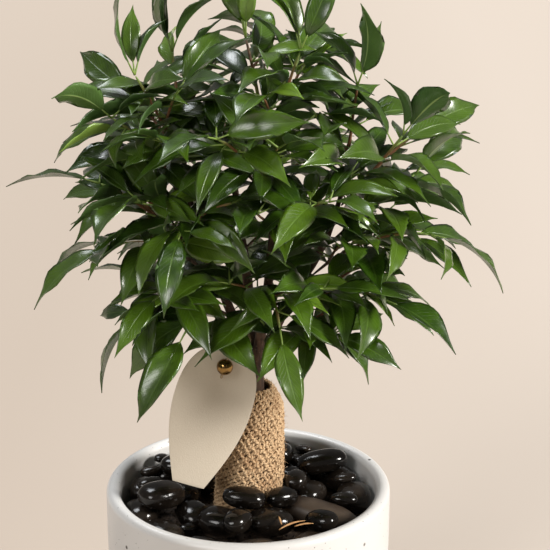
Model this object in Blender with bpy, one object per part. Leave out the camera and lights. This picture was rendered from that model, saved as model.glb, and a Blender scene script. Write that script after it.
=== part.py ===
"""A weeping fig in a white pot: soil, a bed of polished pebbles, a jute sleeve round the trunk and a gift tag.

Metres, +Z up. The origin is the centre of the pot's underside. Heights on the plant are measured from the
top of the soil, so that the plant, its sleeve and its tag rise and fall with the pot.
"""

import math
import random

import bmesh
import bpy
from mathutils import Matrix, Vector
from mathutils.bvhtree import BVHTree

# ---- pot ----
POT_HEIGHT = 0.160
POT_RADIUS = 0.0905
POT_FOOT_RADIUS = 0.062
POT_WALL = 0.0088
POT_FLOOR = 0.010
WIDEST_BELOW_RIM = 0.026
TURNED_SIDES = 32

# ---- soil and pebbles ----
SOIL_BELOW_RIM = 0.0210
SOIL_CROWN = 0.003
SOCKET_DEPTH = 0.022
FIT = 0.0003

# ---- trunk and its leaders ----
ROOT_RADIUS = 0.0125
TRUNK_RADIUS = 0.0080
TRUNK_LEAN = 0.0035
FORK_HEIGHT = 0.098
LEADER_RADIUS = 0.0040
LEADER_TIP_RADIUS = 0.0014
WOOD_SIDES = 8

# ---- jute sleeve ----
SLEEVE_HEIGHT = 0.088
SLEEVE_FOOT_RADIUS = 0.0218
SLEEVE_RADIUS = 0.0198
SLEEVE_TOP_RADIUS = 0.0122
SLEEVE_SHOULDER = 0.017
SLEEVE_WALL = 0.0014
SLEEVE_SIDES = 16

# ---- tag, its string and bead ----
TAG_LENGTH = 0.091
TAG_WIDTH = 0.0490
TAG_FOOT_WIDTH = 0.0200
TAG_THICKNESS = 0.0008
TAG_BOW = 0.0025
TAG_HOLE_RADIUS = 0.0017
TAG_HOLE_FROM_FOOT = 0.079
TAG_TURN = math.radians(17)
TAG_LEAN = math.radians(8)
TAG_FORWARD = 0.0235
TAG_LEFT = 0.0140
TAG_HOLE_HEIGHT = 0.1100
BEAD_RADIUS = 0.0051
BEAD_BORE_RADIUS = 0.0013
STRING_RADIUS = 0.0006

# ---- leaves ----
LEAF_LENGTH = 0.050
LEAF_WIDTH = 0.0175
LEAF_THICKNESS = 0.0006
LEAF_FOLD = math.radians(16)
PETIOLE_LENGTH = 0.009
LEAF_SPACING = 0.0135
SHOOT_LENGTH = 0.036
SHOOTS_PER_BRANCH = 2
TWIG_RADIUS = 0.0013
TWIG_TIP_RADIUS = 0.0008
LEAF_SEED = 7
TRIES_PER_LEAF = 36
TRIES_PER_TWIG = 20

# Each leader leaves the fork and passes through these places: right, back, up from the soil.
LEADERS = {
    "left": [(-0.010, -0.004, 0.138), (-0.030, -0.006, 0.190), (-0.040, -0.004, 0.250)],
    "back": [(0.000, 0.018, 0.150), (-0.008, 0.030, 0.210), (-0.006, 0.026, 0.270)],
    "middle": [(0.012, -0.008, 0.150), (0.016, -0.012, 0.210), (0.008, -0.008, 0.275)],
    "right": [(0.024, 0.006, 0.138), (0.048, 0.008, 0.180), (0.062, 0.006, 0.228)],
}

# Each branch: its leader, how far up that leader it starts, where its tip is, and how much it arches.
BRANCHES = {
    "left_top": ("left", 0.90, (-0.064, -0.022, 0.294), 0.010),
    "left_high": ("left", 0.74, (-0.078, -0.030, 0.268), 0.018),
    "left_middle": ("left", 0.58, (-0.084, -0.008, 0.226), 0.020),
    "left_low": ("left", 0.50, (-0.080, -0.036, 0.192), 0.022),
    "left_skirt": ("left", 0.42, (-0.064, -0.014, 0.142), 0.016),
    "top_left": ("left", 1.00, (-0.044, 0.004, 0.300), 0.003),
    "top_middle": ("middle", 1.00, (0.000, -0.014, 0.312), 0.003),
    "top_right": ("middle", 0.82, (0.032, -0.020, 0.306), 0.010),
    "right_top": ("right", 1.00, (0.066, -0.006, 0.282), 0.006),
    "right_high": ("right", 0.84, (0.086, -0.020, 0.258), 0.014),
    "right_middle": ("right", 0.66, (0.100, 0.010, 0.232), 0.018),
    "right_low": ("right", 0.50, (0.110, -0.022, 0.194), 0.020),
    "right_skirt": ("right", 0.34, (0.082, -0.030, 0.156), 0.018),
    "front_high": ("middle", 0.70, (-0.016, -0.062, 0.264), 0.016),
    "front_left": ("left", 0.66, (-0.036, -0.070, 0.212), 0.018),
    "front_right": ("middle", 0.54, (0.048, -0.066, 0.228), 0.018),
    "front_low": ("middle", 0.34, (0.020, -0.060, 0.148), 0.018),
    "front_left_low": ("left", 0.34, (-0.036, -0.048, 0.142), 0.014),
    "front_right_low": ("right", 0.20, (0.050, -0.044, 0.138), 0.014),
    "back_left": ("back", 0.74, (-0.050, 0.064, 0.232), 0.018),
    "back_right": ("back", 0.62, (0.046, 0.070, 0.224), 0.018),
    "back_high": ("back", 1.00, (0.016, 0.052, 0.292), 0.008),
    "back_low": ("back", 0.38, (-0.010, 0.070, 0.150), 0.016),
}

# Each pebble: bearing in degrees, distance from the trunk as a share of the bed, then its length, width,
# thickness and, in degrees, its heading and tilt. They are dropped in this order.
PEBBLES = [
    (-25, 0.48, 0.055, 0.022, 0.018, -25, 6),
    (-167, 0.80, 0.030, 0.022, 0.017, 96, 4),
    (-139, 0.80, 0.032, 0.023, 0.017, -46, 3),
    (-112, 0.80, 0.029, 0.021, 0.016, -20, 4),
    (-85, 0.80, 0.031, 0.022, 0.017, 3, -4),
    (-57, 0.80, 0.029, 0.021, 0.016, 36, 3),
    (6, 0.78, 0.031, 0.024, 0.018, 92, 5),
    (33, 0.80, 0.030, 0.022, 0.017, 120, 4),
    (58, 0.80, 0.028, 0.021, 0.016, 146, 5),
    (84, 0.80, 0.033, 0.023, 0.018, 172, 3),
    (111, 0.80, 0.029, 0.022, 0.017, 20, 4),
    (138, 0.80, 0.030, 0.022, 0.017, 46, -5),
    (165, 0.80, 0.029, 0.021, 0.017, 76, 4),
    (-150, 0.30, 0.027, 0.021, 0.016, -62, 3),
    (-113, 0.34, 0.030, 0.023, 0.018, -20, 5),
    (-70, 0.32, 0.032, 0.023, 0.018, 14, 4),
    (13, 0.32, 0.028, 0.021, 0.017, 70, 5),
    (50, 0.34, 0.029, 0.022, 0.017, 150, -4),
    (92, 0.32, 0.030, 0.024, 0.017, -4, 3),
    (133, 0.32, 0.028, 0.022, 0.016, 44, 4),
    (171, 0.33, 0.026, 0.021, 0.017, 82, 3),
    (-163, 0.58, 0.034, 0.024, 0.018, 40, 8),
    (-96, 0.58, 0.024, 0.018, 0.015, 70, 4),
    (-94, 0.05, 0.029, 0.018, 0.014, -4, 6),
    (-46, 0.06, 0.023, 0.016, 0.013, 40, 6),
    (4, 0.05, 0.021, 0.015, 0.013, 80, 5),
    (34, 0.60, 0.035, 0.019, 0.015, 14, -5),
    (68, 0.56, 0.025, 0.018, 0.015, 80, 12),
    (148, 0.58, 0.028, 0.019, 0.015, 70, 14),
    (-45, 0.72, 0.023, 0.017, 0.014, 150, 8),
]

SOIL_TOP = POT_HEIGHT - SOIL_BELOW_RIM
WIDEST_HEIGHT = POT_HEIGHT - WIDEST_BELOW_RIM
INNER_RADIUS = POT_RADIUS - POT_WALL
UP = Vector((0, 0, 1))

obstacles = []


def clear_scene():
    for obj in list(bpy.data.objects):
        bpy.data.objects.remove(obj, do_unlink=True)


def material(name, colour, roughness, metallic=0.0):
    made = bpy.data.materials.new(name)
    made.use_nodes = True
    shader = made.node_tree.nodes["Principled BSDF"]
    shader.inputs["Base Color"].default_value = (*colour, 1)
    shader.inputs["Roughness"].default_value = roughness
    shader.inputs["Metallic"].default_value = metallic
    made.diffuse_color = (*colour, 1)
    return made


def add_object(name, points, faces, finish, smooth=True):
    """An object whose mesh holds these points and faces, shaded smooth but for its sharp edges."""
    mesh = bpy.data.meshes.new(name)
    mesh.from_pydata([tuple(p) for p in points], [], faces)
    mesh.update()
    if smooth:
        mesh.shade_smooth()
        mesh.set_sharp_from_angle(angle=math.radians(40))
    mesh.materials.append(finish)
    obj = bpy.data.objects.new(name, mesh)
    bpy.context.scene.collection.objects.link(obj)
    return obj


def as_cutter(obj):
    obj.hide_render = True
    obj.display_type = "WIRE"
    return obj


def boolean(obj, operation, other):
    modifier = obj.modifiers.new(f"{operation.lower()} {other.name}", "BOOLEAN")
    modifier.operation = operation
    modifier.solver = "EXACT"
    modifier.object = other


def keep_clear_of(points, faces):
    """What the leaves and pebbles made later stay clear of."""
    obstacles.append(BVHTree.FromPolygons(points, faces))


# ---- turned and swept shapes ----


def turned_mesh(profile, sides, closed=False):
    """Points and faces of a profile of (radius, height) pairs turned about Z, from its lowest point outwards.

    An open profile starts and ends on the axis. A closed one makes a ring.
    """
    points = []
    rings = []
    for radius, height in profile:
        if radius == 0:
            rings.append([len(points)])
            points.append(Vector((0, 0, height)))
            continue
        rings.append(list(range(len(points), len(points) + sides)))
        for k in range(sides):
            angle = 2 * math.pi * k / sides
            points.append(Vector((radius * math.cos(angle), radius * math.sin(angle), height)))
    pairs = list(zip(rings, rings[1:]))
    if closed:
        pairs.append((rings[-1], rings[0]))
    faces = []
    for low, high in pairs:
        for k in range(sides):
            n = (k + 1) % sides
            if len(low) == 1:
                faces.append((low[0], high[n], high[k]))
            elif len(high) == 1:
                faces.append((low[k], low[n], high[0]))
            else:
                faces.append((low[k], low[n], high[n], high[k]))
    return points, faces


def smooth_path(places, steps):
    """A Catmull-Rom curve through the places, with this many steps between two of them."""
    spots = [Vector(p) for p in places]
    spots = [2 * spots[0] - spots[1], *spots, 2 * spots[-1] - spots[-2]]
    path = []
    for a, b, c, d in zip(spots, spots[1:], spots[2:], spots[3:]):
        for k in range(steps):
            t = k / steps
            path.append(
                0.5 * (2 * b + (c - a) * t + (2 * a - 5 * b + 4 * c - d) * t**2 + (3 * b - a - 3 * c + d) * t**3)
            )
    path.append(spots[-2])
    return path


def tangents_of(path):
    ends = [path[0], *path, path[-1]]
    return [(after - before).normalized() for before, after in zip(ends, ends[2:])]


def across(tangent, towards):
    """The direction square to the tangent that lies nearest to the second one."""
    return (towards - tangent * towards.dot(tangent)).normalized()


def tube_mesh(path, radii, sides):
    """Points and faces of a closed tube of changing radius along a path."""
    points = []
    for place, tangent, radius in zip(path, tangents_of(path), radii):
        right = across(tangent, Vector((1, 0.2, 0.1)))
        ahead = tangent.cross(right)
        for k in range(sides):
            angle = 2 * math.pi * k / sides
            points.append(place + radius * (math.cos(angle) * right + math.sin(angle) * ahead))
    faces = [tuple(reversed(range(sides)))]
    for ring in range(len(path) - 1):
        for k in range(sides):
            n = (k + 1) % sides
            low = ring * sides
            faces.append((low + k, low + n, low + sides + n, low + sides + k))
    faces.append(tuple(range(len(points) - sides, len(points))))
    return points, faces


def taper(first, last, count):
    return [first + (last - first) * k / (count - 1) for k in range(count)]


# ---- pot and soil ----


def bowl_profile(foot, radius, low, high, steps=5):
    """A quarter ellipse that starts level at the foot and ends upright at the widest place."""
    turns = [math.pi / 2 * k / steps for k in range(steps + 1)]
    return [(foot + (radius - foot) * math.sin(a), low + (high - low) * (1 - math.cos(a))) for a in turns]


def make_pot(finish):
    lip = POT_WALL / 2
    outside = bowl_profile(POT_FOOT_RADIUS, POT_RADIUS, 0, WIDEST_HEIGHT)
    turns = [math.pi * k / 5 for k in range(6)]
    centre = POT_RADIUS - lip
    rim = [(centre + lip * math.cos(a), POT_HEIGHT - lip + lip * math.sin(a)) for a in turns]
    foot = POT_FOOT_RADIUS - POT_WALL / 4
    inside = bowl_profile(foot, INNER_RADIUS, POT_FLOOR, WIDEST_HEIGHT)
    profile = [(0, 0), *outside, *rim, *reversed(inside), (0, POT_FLOOR)]
    points, faces = turned_mesh(profile, TURNED_SIDES)
    keep_clear_of(points, faces)
    add_object("pot", points, faces, finish)


def make_soil(finish):
    """The root ball: it fills the pot, domes a little and has a socket for the foot of the trunk."""
    foot = POT_FOOT_RADIUS - POT_WALL / 4 - FIT
    side = INNER_RADIUS - FIT
    socket = ROOT_RADIUS + FIT
    outside = bowl_profile(foot, side, POT_FLOOR + FIT, min(WIDEST_HEIGHT, SOIL_TOP - 2 * SOIL_CROWN))
    top = [(side, SOIL_TOP - SOIL_CROWN), (side * 0.6, SOIL_TOP - SOIL_CROWN / 3), (SLEEVE_FOOT_RADIUS + 0.006, SOIL_TOP)]
    hollow = [(socket, SOIL_TOP), (socket, SOIL_TOP - SOCKET_DEPTH), (0, SOIL_TOP - SOCKET_DEPTH)]
    profile = [(0, POT_FLOOR + FIT), *outside, *top, *hollow]
    points, faces = turned_mesh(profile, TURNED_SIDES)
    keep_clear_of(points, faces)
    add_object("soil", points, faces, finish)


# ---- trunk and sleeve ----


def trunk_axis(height):
    """The trunk's axis at a height over the soil: it leaves the soil upright and leans a little."""
    lean = TRUNK_LEAN * max(0, height / FORK_HEIGHT) ** 1.5
    return Vector((lean, 0, SOIL_TOP + height))


def trunk_path():
    foot = -SOCKET_DEPTH + FIT
    heights = [foot, 0, 0.012, FORK_HEIGHT * 0.4, FORK_HEIGHT * 0.75, FORK_HEIGHT + 0.006]
    path = [trunk_axis(h) for h in heights]
    slim = TRUNK_RADIUS
    radii = [ROOT_RADIUS, ROOT_RADIUS, (ROOT_RADIUS + slim) / 2, slim * 1.08, slim, slim * 0.9]
    return path, radii


def leader_path(name):
    fork = trunk_axis(FORK_HEIGHT * 0.93)
    path = smooth_path([fork, *[Vector(p) + UP * SOIL_TOP for p in LEADERS[name]]], 4)
    return path, taper(LEADER_RADIUS, LEADER_TIP_RADIUS, len(path))


def make_trunk(finish):
    points, faces = tube_mesh(*trunk_path(), WOOD_SIDES)
    keep_clear_of(points, faces)
    trunk = add_object("trunk", points, faces, finish)
    for name in LEADERS:
        points, faces = tube_mesh(*leader_path(name), WOOD_SIDES)
        keep_clear_of(points, faces)
        boolean(trunk, "UNION", as_cutter(add_object(f"leader_{name}", points, faces, finish)))


def sleeve_radius(height):
    """A little wider where it stands on the soil, upright above, and gathered in at its shoulder."""
    shoulder = SLEEVE_HEIGHT - SLEEVE_SHOULDER
    if height < shoulder:
        return SLEEVE_RADIUS + (SLEEVE_FOOT_RADIUS - SLEEVE_RADIUS) * (1 - height / shoulder)
    turn = min(1, (height - shoulder) / SLEEVE_SHOULDER)
    return SLEEVE_TOP_RADIUS + (SLEEVE_RADIUS - SLEEVE_TOP_RADIUS) * math.sqrt(max(0, 1 - turn**2.2))


def make_sleeve(finish):
    shoulder = SLEEVE_HEIGHT - SLEEVE_SHOULDER
    heights = [shoulder * share for share in (0, 0.33, 0.66, 1.0)]
    heights = [FIT + h for h in [*heights, *(shoulder + SLEEVE_SHOULDER * share for share in (0.55, 0.85, 1.0))]]
    levels = [*heights, *reversed(heights)]
    points = []
    for index, height in enumerate(levels):
        radius = sleeve_radius(height) - (SLEEVE_WALL if index >= len(heights) else 0)
        centre = trunk_axis(height)
        for k in range(SLEEVE_SIDES):
            angle = 2 * math.pi * k / SLEEVE_SIDES
            fold = 1 + 0.035 * math.sin(3 * angle + 40 * height)
            points.append(centre + radius * fold * Vector((math.cos(angle), math.sin(angle), 0)))
    faces = []
    for ring in range(len(levels)):
        low = ring * SLEEVE_SIDES
        high = (ring + 1) % len(levels) * SLEEVE_SIDES
        for k in range(SLEEVE_SIDES):
            n = (k + 1) % SLEEVE_SIDES
            faces.append((low + k, low + n, high + n, high + k))
    keep_clear_of(points, faces)
    add_object("jute_sleeve", points, faces, finish)


# ---- tag, bead and string ----


def tag_half_width(rise):
    """Half the tag's width at a share of its length: it swells from a straight foot to a round top."""
    widest = 0.60
    foot = TAG_FOOT_WIDTH / 2
    if rise <= widest:
        return foot + (TAG_WIDTH / 2 - foot) * math.sin(math.pi / 2 * rise / widest)
    fall = (rise - widest) / (1 - widest)
    return TAG_WIDTH / 2 * (1 - fall**2.4) ** (1 / 2.4)


def tag_matrix():
    """From the tag's own frame, origin at its hole and +Z up its length, to its place before the trunk."""
    place = Vector((-TAG_LEFT, -TAG_FORWARD, SOIL_TOP + TAG_HOLE_HEIGHT))
    turn = Matrix.Rotation(TAG_TURN, 4, "Y") @ Matrix.Rotation(-TAG_LEAN, 4, "X")
    return Matrix.Translation(place) @ turn


def make_tag(finish):
    steps = 14
    shares = [math.sin(math.pi / 2 * k / steps) ** 1.1 for k in range(steps)] + [0.9995]
    rows = [(TAG_LENGTH * share - TAG_HOLE_FROM_FOOT, tag_half_width(share)) for share in shares]
    outline = [(half, z) for z, half in rows] + [(-half, z) for z, half in reversed(rows)]
    corners = len(outline)
    points = []
    for y in (-TAG_THICKNESS / 2, TAG_THICKNESS / 2):
        for x, z in outline:
            points.append(tag_matrix() @ Vector((x, y + TAG_BOW * (2 * x / TAG_WIDTH) ** 2, z)))
    faces = []
    for k in range(steps):
        left = corners - 1 - k
        faces.append((k, k + 1, left - 1, left))
        faces.append((corners + left, corners + left - 1, corners + k + 1, corners + k))
    for k in range(corners):
        n = (k + 1) % corners
        faces.append((k, corners + k, corners + n, n))
    keep_clear_of(points, faces)
    tag = add_object("gift_tag", points, faces, finish, smooth=False)
    bore = [(0, -0.01), (TAG_HOLE_RADIUS, -0.01), (TAG_HOLE_RADIUS, 0.01), (0, 0.01)]
    points, faces = turned_mesh(bore, 16)
    through = tag_matrix() @ Matrix.Rotation(math.pi / 2, 4, "X")
    cutter = as_cutter(add_object("tag_hole", [through @ p for p in points], faces, finish))
    boolean(tag, "DIFFERENCE", cutter)


def bead_matrix():
    """The bead hangs on the front strand, just before the hole and a little above it."""
    ahead = -(BEAD_RADIUS + TAG_THICKNESS / 2 + 2 * FIT)
    return tag_matrix() @ Matrix.Translation((0, ahead, BEAD_RADIUS * 0.2))


def make_bead(finish):
    start = math.asin(BEAD_BORE_RADIUS / BEAD_RADIUS)
    turns = [-math.pi / 2 + start + (math.pi - 2 * start) * k / 7 for k in range(8)]
    profile = [(BEAD_RADIUS * math.cos(a), BEAD_RADIUS * math.sin(a)) for a in turns]
    points, faces = turned_mesh(profile, 14, closed=True)
    points = [bead_matrix() @ p for p in points]
    keep_clear_of(points, faces)
    add_object("brass_bead", points, faces, finish)


def string_places():
    """The loop: behind the left leader, down the front through the bead, back through the tag and up again."""
    tag = tag_matrix()
    bead = bead_matrix()
    path, _radii = leader_path("left")
    crotch = path[3]
    round_leader = LEADER_RADIUS + STRING_RADIUS + 0.0008
    top = TAG_LENGTH - TAG_HOLE_FROM_FOOT
    return [
        crotch + Vector((0.0012, round_leader, 0.0012)),
        crotch + Vector((-round_leader, 0.0008, -0.0012)),
        crotch + Vector((-round_leader * 0.9, -0.012, -0.001)),
        tag @ Vector((-0.0030, 0.0045, top + 0.0026)),
        tag @ Vector((-0.0012, -0.0040, top + 0.0012)),
        bead @ Vector((0, 0, BEAD_RADIUS + 0.0022)),
        bead @ Vector((0, 0, BEAD_RADIUS * 0.5)),
        bead @ Vector((0, 0, -BEAD_RADIUS * 0.5)),
        bead @ Vector((0, 0.0002, -BEAD_RADIUS - 0.0008)),
        bead @ Vector((0, 0.0024, -BEAD_RADIUS - 0.0024)),
        tag @ Vector((0, -0.0019, -0.0042)),
        tag @ Vector((0, -0.0010, -0.0010)),
        tag @ Vector((0, 0.0010, 0.0004)),
        tag @ Vector((0.0004, 0.0060, 0.0034)),
        crotch + Vector((round_leader * 1.3, -0.016, -0.004)),
        crotch + Vector((round_leader * 1.15, -0.003, 0.0006)),
    ]


def make_string(finish):
    places = string_places()
    path = smooth_path([*places[-1:], *places, *places[:2]], 3)[3:-3]
    curve = bpy.data.curves.new("tag_string", "CURVE")
    curve.dimensions = "3D"
    spline = curve.splines.new("POLY")
    loop = path[:-1]
    keep_clear_of(*tube_mesh(loop, [2 * STRING_RADIUS] * len(loop), 4))
    spline.points.add(len(loop) - 1)
    for point, place in zip(spline.points, loop):
        point.co = (*place, 1)
    spline.use_cyclic_u = True
    curve.bevel_depth = STRING_RADIUS
    curve.bevel_resolution = 0
    curve.materials.append(finish)
    obj = bpy.data.objects.new("tag_string", curve)
    bpy.context.scene.collection.objects.link(obj)


# ---- pebbles ----


def pebble_mesh(length, width, thickness, seed):
    """A river stone: a rounded box-like pebble, fuller on one end, with a flattened underside."""
    draw = random.Random(seed)
    lean = draw.uniform(-0.16, 0.16)
    swell = draw.uniform(-0.10, 0.14)
    ball = bmesh.new()
    bmesh.ops.create_icosphere(ball, subdivisions=2, radius=1)
    points = []
    for vert in ball.verts:
        x, y, z = (math.copysign(abs(c) ** 0.92, c) for c in vert.co)
        y = y * (1 + swell * x) + lean * x * x * 0.4
        z = z * (1 - 0.08 * swell * x) * (0.92 if z < 0 else 1)
        points.append(Vector((x * length / 2, y * width / 2, z * thickness / 2)))
    faces = [tuple(v.index for v in face.verts) for face in ball.faces]
    ball.free()
    return points, faces


def touches(points, faces, trees):
    tree = BVHTree.FromPolygons(points, faces)
    return any(tree.overlap(other) for other in trees)


def settle(points, faces, near):
    """Lowers the points until they would touch something, first in long steps and then in short ones."""
    height = POT_HEIGHT + 0.030
    middle = sum((p.z for p in points)) / len(points)
    points = [p + UP * (height - middle) for p in points]
    for step in (0.002, 0.0005, 0.0001):
        while not touches([p - UP * step for p in points], faces, near):
            points = [p - UP * step for p in points]
    return points


def placed_in_bed(points, bearing, share):
    """Moves a pebble out along its bearing, and back until it is clear of the pot's wall."""
    bed_inside = sleeve_radius(0.012)
    distance = bed_inside + (INNER_RADIUS - bed_inside) * share
    ahead = Vector((math.cos(bearing), math.sin(bearing), 0))
    for _pass in range(4):
        moved = [p + distance * ahead for p in points]
        over = max(math.hypot(p.x, p.y) for p in moved) - (INNER_RADIUS - 3 * FIT)
        under = bed_inside + 3 * FIT - min(p.dot(ahead) for p in moved)
        distance -= max(0, over) - max(0, under)
    return [p + distance * ahead for p in points]


def make_pebbles(finish):
    near = list(obstacles)
    for number, (bearing, share, length, width, thickness, heading, tilt) in enumerate(PEBBLES, 1):
        turn = Matrix.Rotation(math.radians(heading), 4, "Z") @ Matrix.Rotation(math.radians(tilt), 4, "Y")
        points, faces = pebble_mesh(length, width, thickness, number)
        grown = 1 + 2 * FIT / thickness
        shell = placed_in_bed([turn @ (p * grown) for p in points], math.radians(bearing), share)
        shell = settle(shell, faces, near)
        middle = sum(shell, Vector()) / len(shell)
        points = [middle + (p - middle) / grown for p in shell]
        near.append(BVHTree.FromPolygons(points, faces))
        keep_clear_of(points, faces)
        add_object(f"pebble_{number:02d}", points, faces, finish)


# ---- leafy branches ----


class Growth:
    """A closed mesh that grows from a starting ring of four points, with a new ring or leaf on any face."""

    def __init__(self, place, ahead, side, radius):
        self.points = []
        self.faces = []
        self.end = self.ring(place, ahead, side, radius)
        self.faces.append(tuple(reversed(self.end)))

    def ring(self, place, ahead, side, radius):
        """Four points round a place, counter-clockwise about the direction ahead."""
        side = across(ahead, side)
        up = ahead.cross(side)
        first = len(self.points)
        for k in range(4):
            angle = math.pi / 4 + math.pi / 2 * k
            self.points.append(place + radius * (math.cos(angle) * side + math.sin(angle) * up))
        return [first, first + 1, first + 2, first + 3]

    def join(self, low, high):
        """Four sides between two rings, with the second ring turned so that they twist least."""
        turn = min(
            range(4),
            key=lambda t: sum((self.points[low[k]] - self.points[high[(k + t) % 4]]).length for k in range(4)),
        )
        high = [high[(k + turn) % 4] for k in range(4)]
        sides = [(low[k], low[(k + 1) % 4], high[(k + 1) % 4], high[k]) for k in range(4)]
        self.faces.extend(sides)
        return high, sides

    def extend(self, place, ahead, side, radius):
        self.end, sides = self.join(self.end, self.ring(place, ahead, side, radius))
        return sides

    def centre(self, face):
        return sum((self.points[k] for k in face), Vector()) / len(face)

    def normal(self, face):
        a, b, c, d = (self.points[k] for k in face)
        return (c - a).cross(d - b).normalized()

    def open_face(self, face):
        self.faces.remove(face)
        return list(face)

    def close(self):
        self.faces.append(tuple(self.end))

    def tree_since(self, count):
        """The faces made since there were this many, for others to stay clear of."""
        return BVHTree.FromPolygons(self.points, self.faces[count:])


def blade_rings(base, ahead, normal, length, width, droop, thickness):
    """The leaf's cross-sections, left edge, top, right edge and underside, and its drawn-out tip.

    The midrib bends down through the angle droop, and the two halves fold up from it.
    """
    left = normal.cross(ahead)
    rings = []
    for share, spread in ((0.0, 0.10), (0.27, 0.95), (0.66, 0.70)):
        angle = droop * share
        place = base + length / droop * (math.sin(angle) * ahead - (1 - math.cos(angle)) * normal)
        up = math.cos(angle) * normal + math.sin(angle) * ahead
        half = width / 2 * spread
        edge = half * math.cos(LEAF_FOLD) * left
        lift = half * math.sin(LEAF_FOLD) * up
        body = thickness / 2 * up
        rings.append([place + edge + lift, place + body, place - edge + lift, place - body])
    tip = base + length / droop * (math.sin(droop) * ahead - (1 - math.cos(droop)) * normal)
    return rings, tip


def blade_mesh(rings, tip):
    points = [p for ring in rings for p in ring] + [tip]
    faces = [(3, 2, 1, 0)]
    for row in range(len(rings) - 1):
        low = 4 * row
        for k in range(4):
            n = (k + 1) % 4
            faces.append((low + k, low + n, low + 4 + n, low + 4 + k))
    low = 4 * (len(rings) - 1)
    faces.extend((low + k, low + (k + 1) % 4, len(points) - 1) for k in range(4))
    return points, faces


def leaf_frame(root, ahead, outward, draw, effort):
    """A try at a leaf: where its blade starts, its direction, its upper side, size and droop.

    Later tries turn further from the first choice.
    """
    spread = 0.16 + 0.9 * effort
    ahead = (ahead + spread * Vector([draw.uniform(-1, 1) for _axis in range(3)])).normalized()
    normal = across(ahead, UP + 0.55 * outward)
    roll = Matrix.Rotation(draw.uniform(-0.45, 0.45), 3, ahead)
    size = draw.uniform(0.86, 1.12) * (1 - 0.22 * effort)
    base = root + ahead * PETIOLE_LENGTH * draw.uniform(0.85, 1.1)
    droop = draw.uniform(0.60, 1.15)
    return base, ahead, roll @ normal, LEAF_LENGTH * size, LEAF_WIDTH * size * draw.uniform(0.93, 1.08), droop


def grow_leaf(growth, face, ahead, outward, draw, near):
    """Grows a petiole and a blade from a face, at the first try whose blade is clear of everything near."""
    root = growth.centre(face)
    for attempt in range(TRIES_PER_LEAF):
        frame = leaf_frame(root, ahead, outward, draw, attempt / TRIES_PER_LEAF)
        base, direction, normal, length, width, droop = frame
        rings, tip = blade_rings(base, direction, normal, length * 1.04, width * 1.12, droop, LEAF_THICKNESS * 3)
        stalk = [place - 0.7 * (base - root) for place in rings[0]]
        room = blade_mesh([stalk, *rings], tip)
        if touches(*room, near):
            continue
        rings, tip = blade_rings(*frame, LEAF_THICKNESS)
        end = growth.open_face(face)
        for ring in rings:
            first = len(growth.points)
            growth.points.extend(ring)
            end, _sides = growth.join(end, [first, first + 1, first + 2, first + 3])
        growth.points.append(tip)
        growth.faces.extend((end[k], end[(k + 1) % 4], len(growth.points) - 1) for k in range(4))
        near.append(BVHTree.FromPolygons(*room))
        return True
    return False


def branch_path(leader, share, tip, arch):
    """An arched path from the leader's bark to the tip, and the direction in which it leaves the leader."""
    spine, radii = leader_path(leader)
    index = min(len(spine) - 1, round(share * (len(spine) - 1)))
    ahead = tangents_of(spine)[index]
    tip = Vector(tip) + UP * SOIL_TOP
    outward = across(ahead, tip - spine[index])
    start = spine[index] + outward * (radii[index] + 2 * FIT)
    middle = (start + tip) / 2 + UP * arch
    return start, middle, tip, outward


def bezier(start, middle, tip, t):
    return (1 - t) ** 2 * start + 2 * t * (1 - t) * middle + t * t * tip


def grow_twig(growth, start, middle, tip, thick, leaf_share):
    """Grows a twig on from the open end, and returns a face and a direction for each thing that it bears.

    Two rings stand close together at each of its nodes, so that a node has a small square face on each side.
    """
    length = (middle - start).length + (tip - middle).length
    nodes = max(2, round((1 - leaf_share) * length / LEAF_SPACING))
    half = 0.9 * thick / length
    bearing = []
    for number in range(nodes):
        share = leaf_share + (0.96 - leaf_share) * number / nodes
        radius = thick + (TWIG_TIP_RADIUS - thick) * share
        for t in (share - half, share + half):
            ahead = (bezier(start, middle, tip, t + 0.02) - bezier(start, middle, tip, t - 0.02)).normalized()
            sides = growth.extend(bezier(start, middle, tip, t), ahead, UP.cross(ahead), radius)
        hand = 1 if number % 2 else -1
        aside = hand * UP.cross(ahead).normalized()
        face = max(sides, key=lambda f: growth.normal(f).dot(aside + 0.25 * UP))
        bearing.append((face, aside, ahead))
    ahead = (tip - middle).normalized()
    growth.extend(tip, ahead, UP.cross(ahead), TWIG_TIP_RADIUS)
    growth.close()
    return bearing, (growth.faces[-1], ahead)


def leaves_along(bearing, end):
    waiting = [(face, (0.78 * aside + 0.58 * ahead - 0.10 * UP).normalized()) for face, aside, ahead in bearing]
    return [*waiting, end]


def clear_way(start, middle, tip, near, draw):
    """A twig's way from start to tip, swung aside little by little until it is clear of everything near."""
    for attempt in range(TRIES_PER_TWIG):
        swing = 0.03 * attempt / TRIES_PER_TWIG * Vector([draw.uniform(-1, 1) for _axis in range(3)])
        way = start, middle + swing, tip + swing / 2
        path = [bezier(*way, 0.04 + 0.96 * k / 8) for k in range(9)]
        if not touches(*tube_mesh(path, [2 * TWIG_RADIUS] * 9, 4), near):
            break
    return way


def grow_shoot(growth, face, aside, ahead, near, draw):
    """A side shoot that grows from a face of the main twig, and the faces where its leaves will grow."""
    root = growth.centre(face)
    heading = (0.74 * aside + 0.60 * ahead + 0.22 * UP).normalized()
    start = root + heading * 2 * TWIG_RADIUS
    bend = root + heading * SHOOT_LENGTH / 2 + UP * SHOOT_LENGTH * 0.08
    _start, bend, tip = clear_way(start, bend, root + heading * SHOOT_LENGTH, near, draw)
    growth.end = growth.open_face(face)
    before = len(growth.faces)
    bearing, end = grow_twig(growth, root, bend, tip, TWIG_RADIUS * 0.8, 0.26)
    near.append(growth.tree_since(before))
    return leaves_along(bearing, end)


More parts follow.
